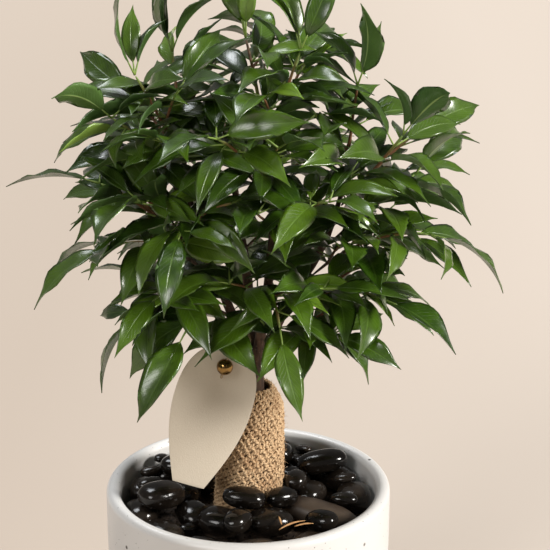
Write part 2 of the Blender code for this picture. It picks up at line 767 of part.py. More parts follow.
def make_branches(finish):
    """The main twigs are grown first, then the side shoots and last the leaves, each clear of all before it."""
    near = obstacles
    draw = random.Random(LEAF_SEED)
    grown = {}
    for name, (leader, share, tip, arch) in BRANCHES.items():
        start, middle, tip, outward = branch_path(leader, share, tip, arch)
        way = clear_way(start, middle, tip, near, draw)
        growth = Growth(start, outward, UP, TWIG_RADIUS)
        bearing, end = grow_twig(growth, *way, TWIG_RADIUS, 0.16)
        near.append(BVHTree.FromPolygons(growth.points, growth.faces))
        grown[name] = growth, bearing, end
    waiting = {}
    for name, (growth, bearing, end) in grown.items():
        shoots = min(SHOOTS_PER_BRANCH, len(bearing) - 2)
        waiting[name] = leaves_along(bearing[shoots:], end)
        for face, aside, ahead in bearing[:shoots]:
            waiting[name] += grow_shoot(growth, face, aside, ahead, near, draw)
    made = 0
    for name, faces in waiting.items():
        growth = grown[name][0]
        for face, ahead in faces:
            centre = growth.centre(face)
            outward = Vector((centre.x, centre.y, 0)).normalized()
            made += grow_leaf(growth, face, ahead, outward, draw, near)
        add_object(f"branch_{name}", growth.points, growth.faces, finish, smooth=False)
    print(f"{made} leaves of {sum(len(faces) for faces in waiting.values())}")


clear_scene()
CERAMIC = material("white_ceramic", (0.86, 0.84, 0.80), 0.35)
SOIL = material("potting_soil", (0.07, 0.045, 0.03), 0.95)
BARK = material("bark", (0.16, 0.09, 0.06), 0.85)
JUTE = material("jute", (0.55, 0.38, 0.20), 0.95)
CARD = material("card", (0.78, 0.68, 0.50), 0.8)
BRASS = material("brass", (0.70, 0.50, 0.22), 0.3, 1.0)
TWINE = material("twine", (0.70, 0.56, 0.38), 0.9)
STONE = material("polished_stone", (0.02, 0.02, 0.022), 0.25)
LEAF = material("leaf", (0.04, 0.13, 0.03), 0.4)

make_pot(CERAMIC)
make_soil(SOIL)
make_trunk(BARK)
make_sleeve(JUTE)
make_pebbles(STONE)
make_tag(CARD)
make_bead(BRASS)
make_string(TWINE)
make_branches(LEAF)
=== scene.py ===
# %% [markdown]
# # A weeping fig in a white pot
# This lesson dresses a small indoor tree: a speckled white pot, a bed of black river stones, a trunk wrapped
# in open jute cloth, a blank paper tag on a twine loop, and a dense crown of folded, drooping leaves.
# The solid model gives every place and size. Here each piece gets its real surface and its fine shape.
# Everything is in metres with +Z up, and the origin is the middle of the pot's underside.

import math
import random

import bmesh
import bpy
from mathutils import Matrix, Vector
from mathutils.bvhtree import BVHTree


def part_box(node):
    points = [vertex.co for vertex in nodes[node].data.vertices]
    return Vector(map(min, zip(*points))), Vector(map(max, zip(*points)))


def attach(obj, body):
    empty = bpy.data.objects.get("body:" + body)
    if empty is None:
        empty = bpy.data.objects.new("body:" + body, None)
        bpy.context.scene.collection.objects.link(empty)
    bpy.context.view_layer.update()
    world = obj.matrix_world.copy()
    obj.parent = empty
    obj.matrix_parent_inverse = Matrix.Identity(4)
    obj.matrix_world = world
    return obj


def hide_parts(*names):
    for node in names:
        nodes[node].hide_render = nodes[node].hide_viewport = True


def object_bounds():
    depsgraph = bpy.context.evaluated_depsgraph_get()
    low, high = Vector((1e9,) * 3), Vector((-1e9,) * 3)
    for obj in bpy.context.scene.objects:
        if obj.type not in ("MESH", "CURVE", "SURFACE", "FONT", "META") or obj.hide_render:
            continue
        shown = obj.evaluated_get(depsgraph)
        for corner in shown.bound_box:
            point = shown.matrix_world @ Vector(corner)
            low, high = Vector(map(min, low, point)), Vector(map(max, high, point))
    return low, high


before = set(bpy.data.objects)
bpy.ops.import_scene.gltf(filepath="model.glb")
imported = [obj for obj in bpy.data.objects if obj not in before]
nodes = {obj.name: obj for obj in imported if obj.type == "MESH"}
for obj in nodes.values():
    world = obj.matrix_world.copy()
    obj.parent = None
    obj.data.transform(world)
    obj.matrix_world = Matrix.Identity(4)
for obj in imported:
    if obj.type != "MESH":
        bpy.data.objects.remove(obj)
CAD_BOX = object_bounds()
print(len(nodes), "solids, box", [round(c, 3) for corner in CAD_BOX for c in corner])

# %% [markdown]
# The camera comes first, because it decides what has to be finest. It looks a little down on the tree, with
# a long lens from about a metre away, which is how such a plant is usually pictured on a table.

# %% Camera
CAMERA_PLACE = (0.0171, -1.1038, 0.6853)
CAMERA_TILT = math.radians(90 - 19.25)


def in_scene(name, data):
    """A new object in the scene that holds this data."""
    obj = bpy.data.objects.new(name, data)
    bpy.context.scene.collection.objects.link(obj)
    return obj


camera_data = bpy.data.cameras.new("camera")
camera_data.lens = 124.36
camera_data.sensor_width = 36
camera = in_scene("camera", camera_data)
camera.location = CAMERA_PLACE
camera.rotation_euler = (CAMERA_TILT, 0, 0)
bpy.context.scene.camera = camera
print("camera at", CAMERA_PLACE)

# %% [markdown]
# ## Writing node trees as sums
# A node tree is easier to read as arithmetic. A Wire wraps one socket, and an operator on it adds the Math
# or Vector Math node that does the sum. The same class serves materials and Geometry Nodes.


# %% Wire
class Wire:
    """One output socket, on which + - * / and the methods below add nodes."""

    def __init__(self, board, socket):
        self.board = board
        self.socket = socket

    def is_vector(self):
        return self.socket.type == "VECTOR"

    def math(self, operation, first, second):
        vectors = any(isinstance(value, Wire) and value.is_vector() for value in (first, second))
        kind = "ShaderNodeVectorMath" if vectors else "ShaderNodeMath"
        return self.board.node(kind, {"operation": operation}, {0: first, 1: second})

    def __add__(self, other):
        return self.math("ADD", self, other)

    __radd__ = __add__

    def __sub__(self, other):
        return self.math("SUBTRACT", self, other)

    def __rsub__(self, other):
        return self.math("SUBTRACT", other, self)

    def __mul__(self, other):
        scalar = not (isinstance(other, Wire) and other.is_vector())
        if self.is_vector() and scalar:
            values = {0: self, "Scale": other}
            return self.board.node("ShaderNodeVectorMath", {"operation": "SCALE"}, values)
        if not self.is_vector() and not scalar:
            return other * self
        return self.math("MULTIPLY", self, other)

    __rmul__ = __mul__

    def __truediv__(self, other):
        return self.math("DIVIDE", self, other)

    def __pow__(self, other):
        return self.math("POWER", self, other)

    def one(self, operation, *more):
        values = dict(enumerate((self, *more)))
        return self.board.node("ShaderNodeMath", {"operation": operation}, values)

    def sine(self):
        return self.one("SINE")

    def cosine(self):
        return self.one("COSINE")

    def size(self):
        return self.one("ABSOLUTE")

    def above(self, level):
        return self.one("GREATER_THAN", level)

    def ramp(self, low, high):
        """0 below low, 1 above high, and a straight line between; high may be the lower one."""
        values = {"Value": self, 1: low, 2: high}
        return self.board.node("ShaderNodeMapRange", {"clamp": True}, values)

    def cross(self, other):
        return self.math("CROSS_PRODUCT", self, other)

    def beside(self, name):
        """Another output of the same node."""
        return Wire(self.board, self.socket.node.outputs[name])

    def part(self, axis):
        return self.board.node("ShaderNodeSeparateXYZ", {}, {0: self}, out=axis)


print("sums ready")

# %% [markdown]
# Any other node comes from Board.node, which takes the node's type, its settings and the values or wires of
# its sockets. A socket that takes several wires, such as Join Geometry's, gets them as a list. The methods
# after it are short names for the nodes that nearly every finish needs.


# %% Board
class Board:
    """A node tree that is being wired."""

    def __init__(self, tree):
        self.tree = tree

    def node(self, kind, settings=None, values=None, out=0):
        made = self.tree.nodes.new(kind)
        for name, value in (settings or {}).items():
            if name == "curve":
                set_curve(made.mapping.curves[0], value)
                made.mapping.update()
            else:
                setattr(made, name, value)
        for key, value in (values or {}).items():
            self.feed(made.inputs[key], value)
        return None if out is None else Wire(self, made.outputs[out])

    def feed(self, socket, value):
        if isinstance(value, Wire):
            self.tree.links.new(value.socket, socket)
        elif isinstance(value, list):
            for wire in value:
                self.feed(socket, wire)
        elif socket.type == "RGBA":
            socket.default_value = (*value[:3], 1)
        else:
            socket.default_value = value

    def mix(self, factor, first, second):
        """A colour between two colours."""
        values = {0: factor, 6: first, 7: second}
        return self.node("ShaderNodeMix", {"data_type": "RGBA"}, values, out=2)

    def attribute(self, name, out="Fac"):
        return self.node("ShaderNodeAttribute", {"attribute_name": name}, out=out)

    def place(self, stretch=(1, 1, 1)):
        spot = self.node("ShaderNodeTexCoord", out="Object")
        return self.node("ShaderNodeMapping", {}, {"Vector": spot, "Scale": stretch})

    def noise(self, where, scale, detail=3, out="Fac"):
        values = {"Vector": where, "Scale": scale, "Detail": detail}
        return self.node("ShaderNodeTexNoise", {}, values, out=out)

    def cells(self, where, scale, out="Distance"):
        return self.node("ShaderNodeTexVoronoi", {}, {"Vector": where, "Scale": scale}, out=out)


def set_curve(curve, stops):
    while len(curve.points) < len(stops):
        curve.points.new(0.5, 0.5)
    for point, stop in zip(curve.points, stops):
        point.location = stop


print("boards ready")

# %% [markdown]
# Each finish ends in one Principled shader. What changes over the surface goes to its colour, roughness
# and bump, and what is the same all over is typed into its sockets.


# %% Finish helper
def finish(name, paint):
    """A material. Its paint function gives colour, roughness, bump height, bump depth and even values."""
    material = bpy.data.materials.new(name)
    material.use_nodes = True
    tree = material.node_tree
    tree.nodes.clear()
    board = Board(tree)
    colour, roughness, height, depth, even = paint(board)
    values = {"Base Color": colour, "Roughness": roughness, **even}
    if height is not None:
        bump = {"Strength": 1.0, "Distance": depth, "Height": height}
        values["Normal"] = board.node("ShaderNodeBump", {}, bump)
    shader = board.node("ShaderNodeBsdfPrincipled", {}, values)
    board.node("ShaderNodeOutputMaterial", {}, {"Surface": shader}, out=None)
    return material


print("finish helper ready")

# %% [markdown]
# ## Mesh helpers
# Every finished piece is a plain mesh whose object stays at the origin, so its place is in its points. The
# helpers make such a piece, turn its modifiers into plain mesh, hang it on the root body and hide the solids
# that it stands for.


# %% Mesh helpers
def smooth(obj):
    obj.data.polygons.foreach_set("use_smooth", [True] * len(obj.data.polygons))
    return obj


def new_piece(name, mesh, material):
    if material:
        mesh.materials.append(material)
    return smooth(in_scene(name, mesh))


def add_mesh(name, points, faces, material=None, edges=()):
    mesh = bpy.data.meshes.new(name)
    mesh.from_pydata([tuple(p) for p in points], edges, faces)
    return new_piece(name, mesh, material)


def from_bmesh(name, shape, material):
    mesh = bpy.data.meshes.new(name)
    shape.to_mesh(mesh)
    shape.free()
    return new_piece(name, mesh, material)


def flattened(obj):
    """The object with its modifiers turned into plain mesh and removed."""
    graph = bpy.context.evaluated_depsgraph_get()
    plain = bpy.data.meshes.new_from_object(obj.evaluated_get(graph))
    plain.name = obj.name
    was = obj.data
    obj.modifiers.clear()
    obj.data = plain
    bpy.data.meshes.remove(was)
    return obj


def set_attribute(obj, name, values, kind="FLOAT"):
    layer = obj.data.attributes.new(name, kind, "POINT")
    if kind == "FLOAT_VECTOR":
        layer.data.foreach_set("vector", [c for value in values for c in value])
    else:
        layer.data.foreach_set("value", values)


def sewn(mesh, gap):
    """The mesh with its loose triangles sewn together."""
    shape = bmesh.new()
    shape.from_mesh(mesh)
    bmesh.ops.remove_doubles(shape, verts=shape.verts, dist=gap)
    return shape


def merged(name):
    return sewn(nodes[name].data, 1e-6)


def rounded(obj):
    """The object after two rounds of subdivision."""
    soft = obj.modifiers.new("round", "SUBSURF")
    soft.levels = soft.render_levels = 2
    return flattened(obj)


def join(name, objects):
    bpy.ops.object.select_all(action="DESELECT")
    for obj in objects:
        obj.select_set(True)
    bpy.context.view_layer.objects.active = objects[0]
    bpy.ops.object.join()
    objects[0].name = name
    return objects[0]


def place_piece(obj, slot, *replaced):
    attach(obj, "root")
    if replaced:
        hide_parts(*replaced)
    obj.data.calc_loop_triangles()
    print(obj.name, len(obj.data.loop_triangles), "triangles")
    return obj


print("mesh helpers ready")

# %% [markdown]
# Round things are turned: the lathe takes a profile of radii and heights, which may start or end on the Z
# axis, and turns it about that axis.


# %% Lathe
def lathe(profile, sides):
    """Points and faces of a profile of (radius, height) turned round the Z axis."""
    points = []
    rings = []
    for radius, height in profile:
        count = sides if radius > 0 else 1
        rings.append(list(range(len(points), len(points) + count)))
        for k in range(count):
            angle = 2 * math.pi * k / sides
            points.append((radius * math.cos(angle), radius * math.sin(angle), height))
    faces = []
    for low, high in zip(rings, rings[1:]):
        for k in range(sides):
            n = (k + 1) % sides
            if len(low) == 1:
                faces.append((low[0], high[n], high[k]))
            elif len(high) == 1:
                faces.append((low[k], low[n], high[0]))
            else:
                faces.append((low[k], low[n], high[n], high[k]))
    return points, faces


print("lathe ready")

# %% [markdown]
# A Geometry Nodes tree gets its board and one wire for each named input. It is run on an object with values
# for those inputs, and only the plain mesh that comes out of it stays. What each tree does again and again,
# such as putting copies of a shape on points, has a short name here.


# %% Geometry Nodes helpers
def new_tree(name, inputs):
    """An empty Geometry Nodes tree with named inputs, its board, and a wire for each input."""
    tree = bpy.data.node_groups.new(name, "GeometryNodeTree")
    tree.interface.new_socket("Geometry", in_out="INPUT", socket_type="NodeSocketGeometry")
    tree.interface.new_socket("Geometry", in_out="OUTPUT", socket_type="NodeSocketGeometry")
    kinds = {"size": "NodeSocketFloat", "count": "NodeSocketInt", "finish": "NodeSocketMaterial"}
    for label, kind in inputs.items():
        tree.interface.new_socket(label, in_out="INPUT", socket_type=kinds[kind])
    board = Board(tree)
    wires = {label: board.node("NodeGroupInput", out=label) for label in ("Geometry", *inputs)}
    return tree, board, wires


def end_tree(board, geometry):
    board.node("NodeGroupOutput", {}, {0: geometry}, out=None)


def named(board, *names, kind="FLOAT"):
    """The wire of a point's attribute, or the wires of several."""
    settings = {"data_type": kind}
    wires = [board.node("GeometryNodeInputNamedAttribute", settings, {"Name": name}) for name in names]
    return wires if len(wires) > 1 else wires[0]


def stored(board, geometry, name, value):
    settings = {"data_type": "FLOAT", "domain": "POINT"}
    values = {"Geometry": geometry, "Name": name, "Value": value}
    return board.node("GeometryNodeStoreNamedAttribute", settings, values)


def copied(board, points, shape, **more):
    """A real copy of the shape on each point; Rotation and Scale may be given."""
    many = {"Points": points, "Instance": shape, **more}
    many = board.node("GeometryNodeInstanceOnPoints", {}, many)
    return board.node("GeometryNodeRealizeInstances", {}, {"Geometry": many})


def random_vector(board, low, high, seed):
    values = {"Min": low, "Max": high, "Seed": seed}
    return board.node("FunctionNodeRandomValue", {"data_type": "FLOAT_VECTOR"}, values)


def finished(board, geometry, material):
    return board.node("GeometryNodeSetMaterial", {}, {"Geometry": geometry, "Material": material})


def joined(board, parts):
    return board.node("GeometryNodeJoinGeometry", {}, {0: parts})


def run_tree(obj, tree, **inputs):
    """Runs a Geometry Nodes tree on the object with these inputs, and keeps the plain result."""
    modifier = obj.modifiers.new(tree.name, "NODES")
    modifier.node_group = tree
    sockets = {item.name: item.identifier for item in tree.interface.items_tree if item.in_out == "INPUT"}
    for name, value in inputs.items():
        modifier[sockets[name.replace("_", " ")]] = value
    return flattened(obj)


print("tree helpers ready")

# %% [markdown]
# ## Floor and light
# The plant stands on a wide pale floor of warm grey-beige paper, so wide that from most sides it fills the
# picture. A painted pool of light makes its colour lighter to the right and far behind the plant.

# %% Floor
FLOOR_REACH = 9.0


def paint_paper(board):
    spot = board.place()
    # painted light: the paper's colour is made lighter to the right here, and lighter far behind the plant
    # in the next line
    paper = board.mix(spot.part(0).ramp(-0.22, 0.36), (0.455, 0.384, 0.320), (0.565, 0.492, 0.424))
    return board.mix(spot.part(1).ramp(0.6, 2.6) * 0.3, paper, (0.60, 0.525, 0.45)), 0.9, None, 0, {}


def make_floor():
    near, far = -FLOOR_REACH, FLOOR_REACH
    corners = [(near, near, 0), (far, near, 0), (far, far, 0), (near, far, 0)]
    add_mesh("floor", corners, [(0, 1, 2, 3)], finish("floor_paper", paint_paper))
    print("floor", 2 * FLOOR_REACH, "m wide")


make_floor()

# %% [markdown]
# The light comes from far away, so that it is the same all over the floor: a strong soft one from the right
# and a little in front, a weak one that fills the left side, and one from behind that puts an edge of light
# on the leaves. Each is a sun with a wide angle, and it is given the place that it shines from.


# %% Lights
def soft_light(name, came_from, strength, softness, colour):
    """A light from far away, softness degrees across."""
    light = bpy.data.lights.new(name, "SUN")
    light.energy = strength
    light.angle = math.radians(softness)
    light.color = colour
    holder = in_scene(name, light)
    holder.location = came_from
    holder.rotation_euler = (-Vector(came_from)).to_track_quat("-Z", "Y").to_euler()


soft_light("key_light", (1.35, -0.42, 0.79), 4.8, 18, (1.0, 0.965, 0.92))
soft_light("fill_light", (-1.0, -1.4, 1.05), 1.15, 25, (1.0, 0.98, 0.96))
soft_light("edge_light", (-0.4, 0.55, 1.25), 1.7, 26, (0.93, 0.96, 1.0))

world = bpy.data.worlds.new("studio")
world.use_nodes = True
sky = world.node_tree.nodes["Background"].inputs
sky["Color"].default_value = (0.93, 0.90, 0.86, 1)
sky["Strength"].default_value = 0.16
bpy.context.scene.world = world
bpy.context.scene.view_settings.view_transform = "Standard"
print("three lights and a pale sky")

# %% [markdown]
# ## The pot
# The pot is thrown stoneware under a satin white glaze, with iron specks of many sizes burnt through it. A
# lathe is the right way, because the real one was turned too. Its wall rises from a narrow foot in a quarter
# ellipse, is widest a little under the rim, and closes in a round lip.

# %% Pot
POT_HEIGHT = 0.160
POT_RADIUS = 0.0905
FOOT_RADIUS = 0.062
POT_WALL = 0.0088
POT_FLOOR = 0.010
FOOT_RING = 0.009
FOOT_HOLLOW = 0.0012
WIDEST = POT_HEIGHT - 0.026
SOIL_TOP = POT_HEIGHT - 0.021


def quarter(foot, radius, low, high, steps):
    turns = [math.pi / 2 * k / steps for k in range(steps + 1)]
    return [(foot + (radius - foot) * math.sin(a), low + (high - low) * (1 - math.cos(a))) for a in turns]


def paint_glaze(board):
    spot = board.place()
    warp = spot + board.noise(spot, 90, 2, "Color") * 0.0012
    size = board.cells(warp, 150, "Color").part(0)
    big = board.cells(warp, 150).ramp(0.26, 0.10) * size.ramp(0.88, 1.0)
    fine = board.cells(spot, 520).ramp(0.22, 0.10) * board.cells(spot, 520, "Color").part(1).ramp(0.86, 0.95)
    speck = (big + fine * 0.8).ramp(0.12, 0.55)
    cloud = board.noise(spot, 22, 4)
    white = board.mix(cloud, (0.63, 0.615, 0.595), (0.68, 0.675, 0.66))
    clay = spot.part(2).ramp(0.0022, 0.0012)
    glaze = board.mix(speck, white, (0.045, 0.038, 0.032))
    colour = board.mix(clay, glaze, (0.52, 0.45, 0.37))
    rough = board.noise(spot, 60, 3) * 0.12 + 0.30 + clay * 0.4
    height = board.noise(spot, 130, 2) * 0.5 - speck * 0.6
    return colour, rough, height, 0.00012, {"Coat Weight": 0.25, "Coat Roughness": 0.25}


def make_pot():
    lip = POT_WALL / 2
    rim = [(POT_RADIUS - lip + lip * math.cos(a), POT_HEIGHT - lip + lip * math.sin(a))
           for a in (math.pi * k / 14 for k in range(15))]
    foot = FOOT_RADIUS - POT_WALL / 4
    outside = quarter(FOOT_RADIUS, POT_RADIUS, 0.0008, WIDEST, 30)
    inside = quarter(foot, POT_RADIUS - POT_WALL, POT_FLOOR, WIDEST, 16)
    ring = [(0, FOOT_HOLLOW), (FOOT_RADIUS - FOOT_RING, FOOT_HOLLOW), (FOOT_RADIUS - 0.0078, 0),
            (FOOT_RADIUS - FOOT_HOLLOW, 0)]
    profile = [*ring, *outside, *rim, *reversed(inside), (0, POT_FLOOR)]
    points, faces = lathe(profile, 160)
    pot = add_mesh("pot_body", points, faces, finish("speckled_glaze", paint_glaze))
    place_piece(pot, "ceramic", "pot")


make_pot()

# %% [markdown]
# ## Soil
# Under the stones lies dark, crumbly potting soil with coir fibres. The bed is a turned disc whose points
# are lifted a little at random. Crumbs are scattered on it with Geometry Nodes, and each one is a ball of
# twenty faces, because there are hundreds of them.


# %% Soil
TRUNK_SOCKET = 0.0130
SOCKET_DEPTH = 0.020
CRUMBS_PER_SQUARE_METRE = 60000.0
CRUMB_SIZE = 0.0011


def paint_soil(board):
    spot = board.place()
    lump = board.noise(spot, 240, 5)
    colour = board.mix(lump.ramp(0.35, 0.7), (0.018, 0.011, 0.007), (0.075, 0.048, 0.030))
    return colour, 0.95, lump, 0.0012, {}


def paint_straw(board):
    spot = board.place()
    streak = board.noise(spot, 700, 3)
    return board.mix(streak, (0.30, 0.13, 0.045), (0.62, 0.36, 0.15)), 0.7, streak, 0.0003, {}


soil_finish = finish("potting_soil", paint_soil)
straw_finish = finish("dry_straw", paint_straw)


def make_soil_bed():
    draw = random.Random(3)
    inside = POT_RADIUS - POT_WALL - 0.0003
    profile = [(0, 0.012), (0.055, 0.012), (inside * 0.92, 0.060), (inside, SOIL_TOP - 0.006)]
    profile += [(inside * (1 - 0.06 * k), SOIL_TOP - 0.003 * (1 - k / 14)) for k in range(14)]
    socket = SOIL_TOP - SOCKET_DEPTH
    profile += [(TRUNK_SOCKET, SOIL_TOP), (TRUNK_SOCKET, socket), (0, socket)]
    points, faces = lathe(profile, 96)
    rough = []
    for x, y, z in points:
        lift = draw.uniform(-0.0011, 0.0004) if z > SOIL_TOP - 0.0035 else 0
        rough.append((x, y, z + lift))
    return add_mesh("soil_bed", rough, faces, soil_finish)


def scatter_tree():
    tree, board, given = new_tree("Crumbs", {
        "Crumbs per Square Metre": "size", "Crumb Size": "size", "Seed": "count", "Finish": "finish"})
    upward = board.node("GeometryNodeInputNormal").part(2).above(0.85)
    spots = board.node("GeometryNodeDistributePointsOnFaces", {"distribute_method": "RANDOM"}, {
        "Mesh": given["Geometry"], "Selection": upward, "Density": given["Crumbs per Square Metre"],
        "Seed": given["Seed"]})
    crumb = board.node("GeometryNodeMeshIcoSphere", {}, {"Radius": given["Crumb Size"], "Subdivisions": 1})
    turn = random_vector(board, (0, 0, 0), (6, 6, 6), given["Seed"])
    grow = random_vector(board, (0.4, 0.4, 0.3), (1.6, 1.3, 0.9), given["Seed"])
    crumbs = finished(board, copied(board, spots, crumb, Rotation=turn, Scale=grow), given["Finish"])
    end_tree(board, joined(board, [crumbs, given["Geometry"]]))
    return tree


soil_bed = make_soil_bed()
run_tree(soil_bed, scatter_tree(), Crumbs_per_Square_Metre=CRUMBS_PER_SQUARE_METRE,
         Crumb_Size=CRUMB_SIZE, Seed=5, Finish=soil_finish)
place_piece(soil_bed, "soil", "soil")

# %% [markdown]
# ## River stones
# The stones are tumbled smooth and oiled black, with a few brown or grey ones among them. Each solid stone
# is a coarse egg already in its settled place, so its mesh is copied, rounded by two rounds of subdivision,
# squared a little along its own axes and dented very slightly. A number on each point says which colour the
# stone has.

# %% Stones
PILLOW = 2.22
BROWN_STONES = {"pebble_01": 0.62, "pebble_05": 0.30, "pebble_06": 0.35, "pebble_07": 0.15}


def paint_stone(board):
    spot = board.place()
    tone = board.attribute("tone")
    wave = board.noise(spot, 55, 4)
    grain = board.noise(spot, 900, 3)
    black = board.mix(wave.ramp(0.42, 0.72), (0.0034, 0.0026, 0.0020), (0.0125, 0.0095, 0.0072))
    brown = board.mix(wave.ramp(0.35, 0.7), (0.050, 0.034, 0.024), (0.125, 0.092, 0.066))
    dust = board.noise(spot, 180, 5).ramp(0.58, 0.80) * 0.12
    colour = board.mix(dust, board.mix(tone, black, brown), (0.15, 0.125, 0.10))
    rough = tone * 0.40 + wave * 0.08 + 0.10 + dust * 0.9
    return colour, rough, grain * 0.5 + wave, 0.00010, {"Specular IOR Level": 0.40}


stone_finish = finish("river_stone", paint_stone)


def pillow(away, axes):
    """Pushes a point of an egg outwards where it is far from all three axes, as on a flat river stone."""
    shares = [abs(away.dot(axis)) / axis.length_squared for axis in axes]
    round_size = math.sqrt(sum(share**2 for share in shares))
    square_size = sum(share**PILLOW for share in shares) ** (1 / PILLOW)
    return away * (round_size / square_size)


def own_axes(points, middle):
    """The stone's three half sizes as vectors, the longest first."""
    longest = max((p - middle for p in points), key=lambda away: away.length)
    across = [p - middle - longest * ((p - middle).dot(longest) / longest.length_squared) for p in points]
    second = max(across, key=lambda away: away.length)
    third = longest.cross(second).normalized()
    return longest, second, third * max(abs((p - middle).dot(third)) for p in points)


def make_stone(name):
    stone = rounded(from_bmesh(name.replace("pebble", "stone"), merged(name), stone_finish))
    verts = stone.data.vertices
    middle = sum((v.co for v in verts), Vector()) / len(verts)
    number = int(name[-2:])
    draw = random.Random(number)
    dents = []
    for _dent in range(3):
        way = Vector([draw.gauss(0, 1) for _axis in range(3)]).normalized()
        dents.append((way, draw.uniform(60, 150)))
    axes = own_axes([v.co for v in verts], middle)
    for vert in verts:
        away = pillow(vert.co - middle, axes)
        dent = sum(math.sin(way.dot(away) * pace + number) for way, pace in dents)
        vert.co = middle + away * (1.02 + 0.008 * dent)
    tone = BROWN_STONES.get(name, draw.choice((0.0, 0.0, 0.03, 0.07)))
    set_attribute(stone, "tone", [tone] * len(verts))
    place_piece(stone, "pebble", name)


for name in sorted(nodes):
    if name.startswith("pebble"):
        make_stone(name)

# %% [markdown]
# Between the settled stones lie smaller ones, which hide the soil as they do in a real bed. Each is let
# down at a random place until it would touch a stone. It is kept where it has sunk into the bed and leans
# on nothing upright, such as the pot's wall, the sleeve or the tag.

# %% Small stones
SMALL_STONES = 95
DROP_TRIES = 1300
DROP_STEP = 0.0015
DROP_FROM = SOIL_TOP + 0.021
WALL_RING = 0.062
HIGHEST_REST = 0.0115
HIGHEST_AT_WALL = 0.0170


def stone_shape(draw, length):
    ball = bmesh.new()
    bmesh.ops.create_icosphere(ball, subdivisions=3, radius=1)
    size = Vector((length, length * draw.uniform(0.55, 0.78), length * draw.uniform(0.34, 0.50))) / 2
    swell = draw.uniform(-0.15, 0.15)
    turn = Matrix.Rotation(draw.uniform(0, 6.28), 3, "Z")
    turn = turn @ Matrix.Rotation(draw.uniform(-0.4, 0.4), 3, "Y")
    for vert in ball.verts:
        x, y, z = pillow(vert.co, Matrix.Identity(3))
        vert.co = turn @ Vector((x * size.x, y * (1 + swell * x) * size.y, z * size.z))
    return ball


def solid_tree(name):
    mesh = nodes[name].data
    corners = [v.co.copy() for v in mesh.vertices]
    return BVHTree.FromPolygons(corners, [tuple(p.vertices) for p in mesh.polygons])


def moved(shape, way):
    bmesh.ops.translate(shape, verts=shape.verts, vec=way)


def settled(shape, start, near, upright):
    """Lowers the stone until it would touch another, and gives its height, or None if it leans on a wall."""
    height = start
    moved(shape, (0, 0, start))
    while height > SOIL_TOP:
        tree = BVHTree.FromBMesh(shape)
        if any(tree.overlap(other) for other in upright):
            return None
        if any(tree.overlap(other) for other in near):
            moved(shape, (0, 0, DROP_STEP))
            height += DROP_STEP
            break
        moved(shape, (0, 0, -DROP_STEP))
        height -= DROP_STEP
    return None if height > start - DROP_STEP / 2 else height


def make_small_stones():
    draw = random.Random(17)
    near = [solid_tree(name) for name in nodes if name.startswith("pebble")]
    upright = [solid_tree(name) for name in ("jute_sleeve", "gift_tag", "pot", "trunk")]
    kept = []
    for attempt in range(DROP_TRIES):
        if len(kept) == SMALL_STONES:
            break
        length = 0.030 * (1 - 0.64 * attempt / DROP_TRIES) * draw.uniform(0.85, 1.15)
        shape = stone_shape(draw, length)
        bearing, away = draw.uniform(0, 6.28), draw.uniform(0.030, 0.078)
        moved(shape, (away * math.cos(bearing), away * math.sin(bearing), 0))
        height = settled(shape, DROP_FROM, near, upright)
        at_wall = away > WALL_RING and math.sin(bearing) > -0.3
        if height is None or height > SOIL_TOP + (HIGHEST_AT_WALL if at_wall else HIGHEST_REST):
            shape.free()
            continue
        near.append(BVHTree.FromBMesh(shape))
        stone = from_bmesh("small_stone", shape, stone_finish)
        tone = draw.choice((0.0, 0.0, 0.03, 0.06, 0.2))
        set_attribute(stone, "tone", [tone] * len(stone.data.vertices))
        kept.append(stone)
    print(len(kept), "small stones")
    place_piece(join("small_stones", kept), "pebble")


make_small_stones()

# %% [markdown]
# A few dry bits of straw lie on the front stones and by the sleeve. Each is a thin blade of nine flattened
# rings along a line that bends and sinks towards its end.

# %% Straw bits
STRAW_RINGS = 9
STRAW_BITS = (  # x, y, height over the soil, length and bearing
    (0.020, -0.061, 0.0172, 0.019, 0.55), (0.022, -0.054, 0.0178, 0.010, 1.9),
    (0.029, -0.058, 0.0182, 0.012, 0.15), (-0.033, -0.002, 0.0135, 0.012, 2.6),
    (-0.036, 0.004, 0.0130, 0.010, 0.4), (-0.029, 0.006, 0.0130, 0.009, 1.4))


def straw_points(draw, x, y, lift, length, bearing):
    ahead = Vector((math.cos(bearing), math.sin(bearing), 0.28))
    side = Vector((-math.sin(bearing), math.cos(bearing), 0))
    thin = Vector((0, 0, 0.00018))
    points = []
    for k in range(STRAW_RINGS):
        t = k / (STRAW_RINGS - 1)
        spot = Vector((x, y, SOIL_TOP + lift)) + ahead * length * t
        spot += side * 0.18 * length * math.sin(2 * t + bearing) * 0.5
        spot -= Vector((0, 0, 0.22 * length * t * t))
        wide = 0.00075 * math.sin(math.pi * min(0.97, 0.12 + 0.85 * t)) + 0.0001
        flat = (side + Vector((0, 0, draw.uniform(0.2, 0.5)))).normalized()
        points += [spot - flat * wide, spot - thin, spot + flat * wide, spot + thin]
    return points


def make_straw():
    draw = random.Random(41)
    points, faces = [], []
    for bit in STRAW_BITS:
        first = len(points)
        points += straw_points(draw, *bit)
        faces.append((first, first + 1, first + 2, first + 3))
        last = first + 4 * (STRAW_RINGS - 1)
        for a in range(first, last, 4):
            faces += [(a + (c + 1) % 4, a + c, a + 4 + c, a + 4 + (c + 1) % 4) for c in range(4)]
        faces.append((last + 3, last + 2, last + 1, last))
    straw = add_mesh("straw_bits", points, faces, straw_finish)
    shape = bmesh.new()
    shape.from_mesh(straw.data)
    bmesh.ops.recalc_face_normals(shape, faces=shape.faces)
    shape.to_mesh(straw.data)
    shape.free()
    place_piece(straw, "soil")


make_straw()

# %% [markdown]
# ## Trunk and bark
# The trunk forks into four slim leaders. The solid is a union of eight-sided tubes, so the bark skin is
# grown from it: a voxel remesh gives an even skin, smoothing rounds the corners, and a few slow ripples
# make it wooden. The bark itself is a bump of long streaks and short pale pores.


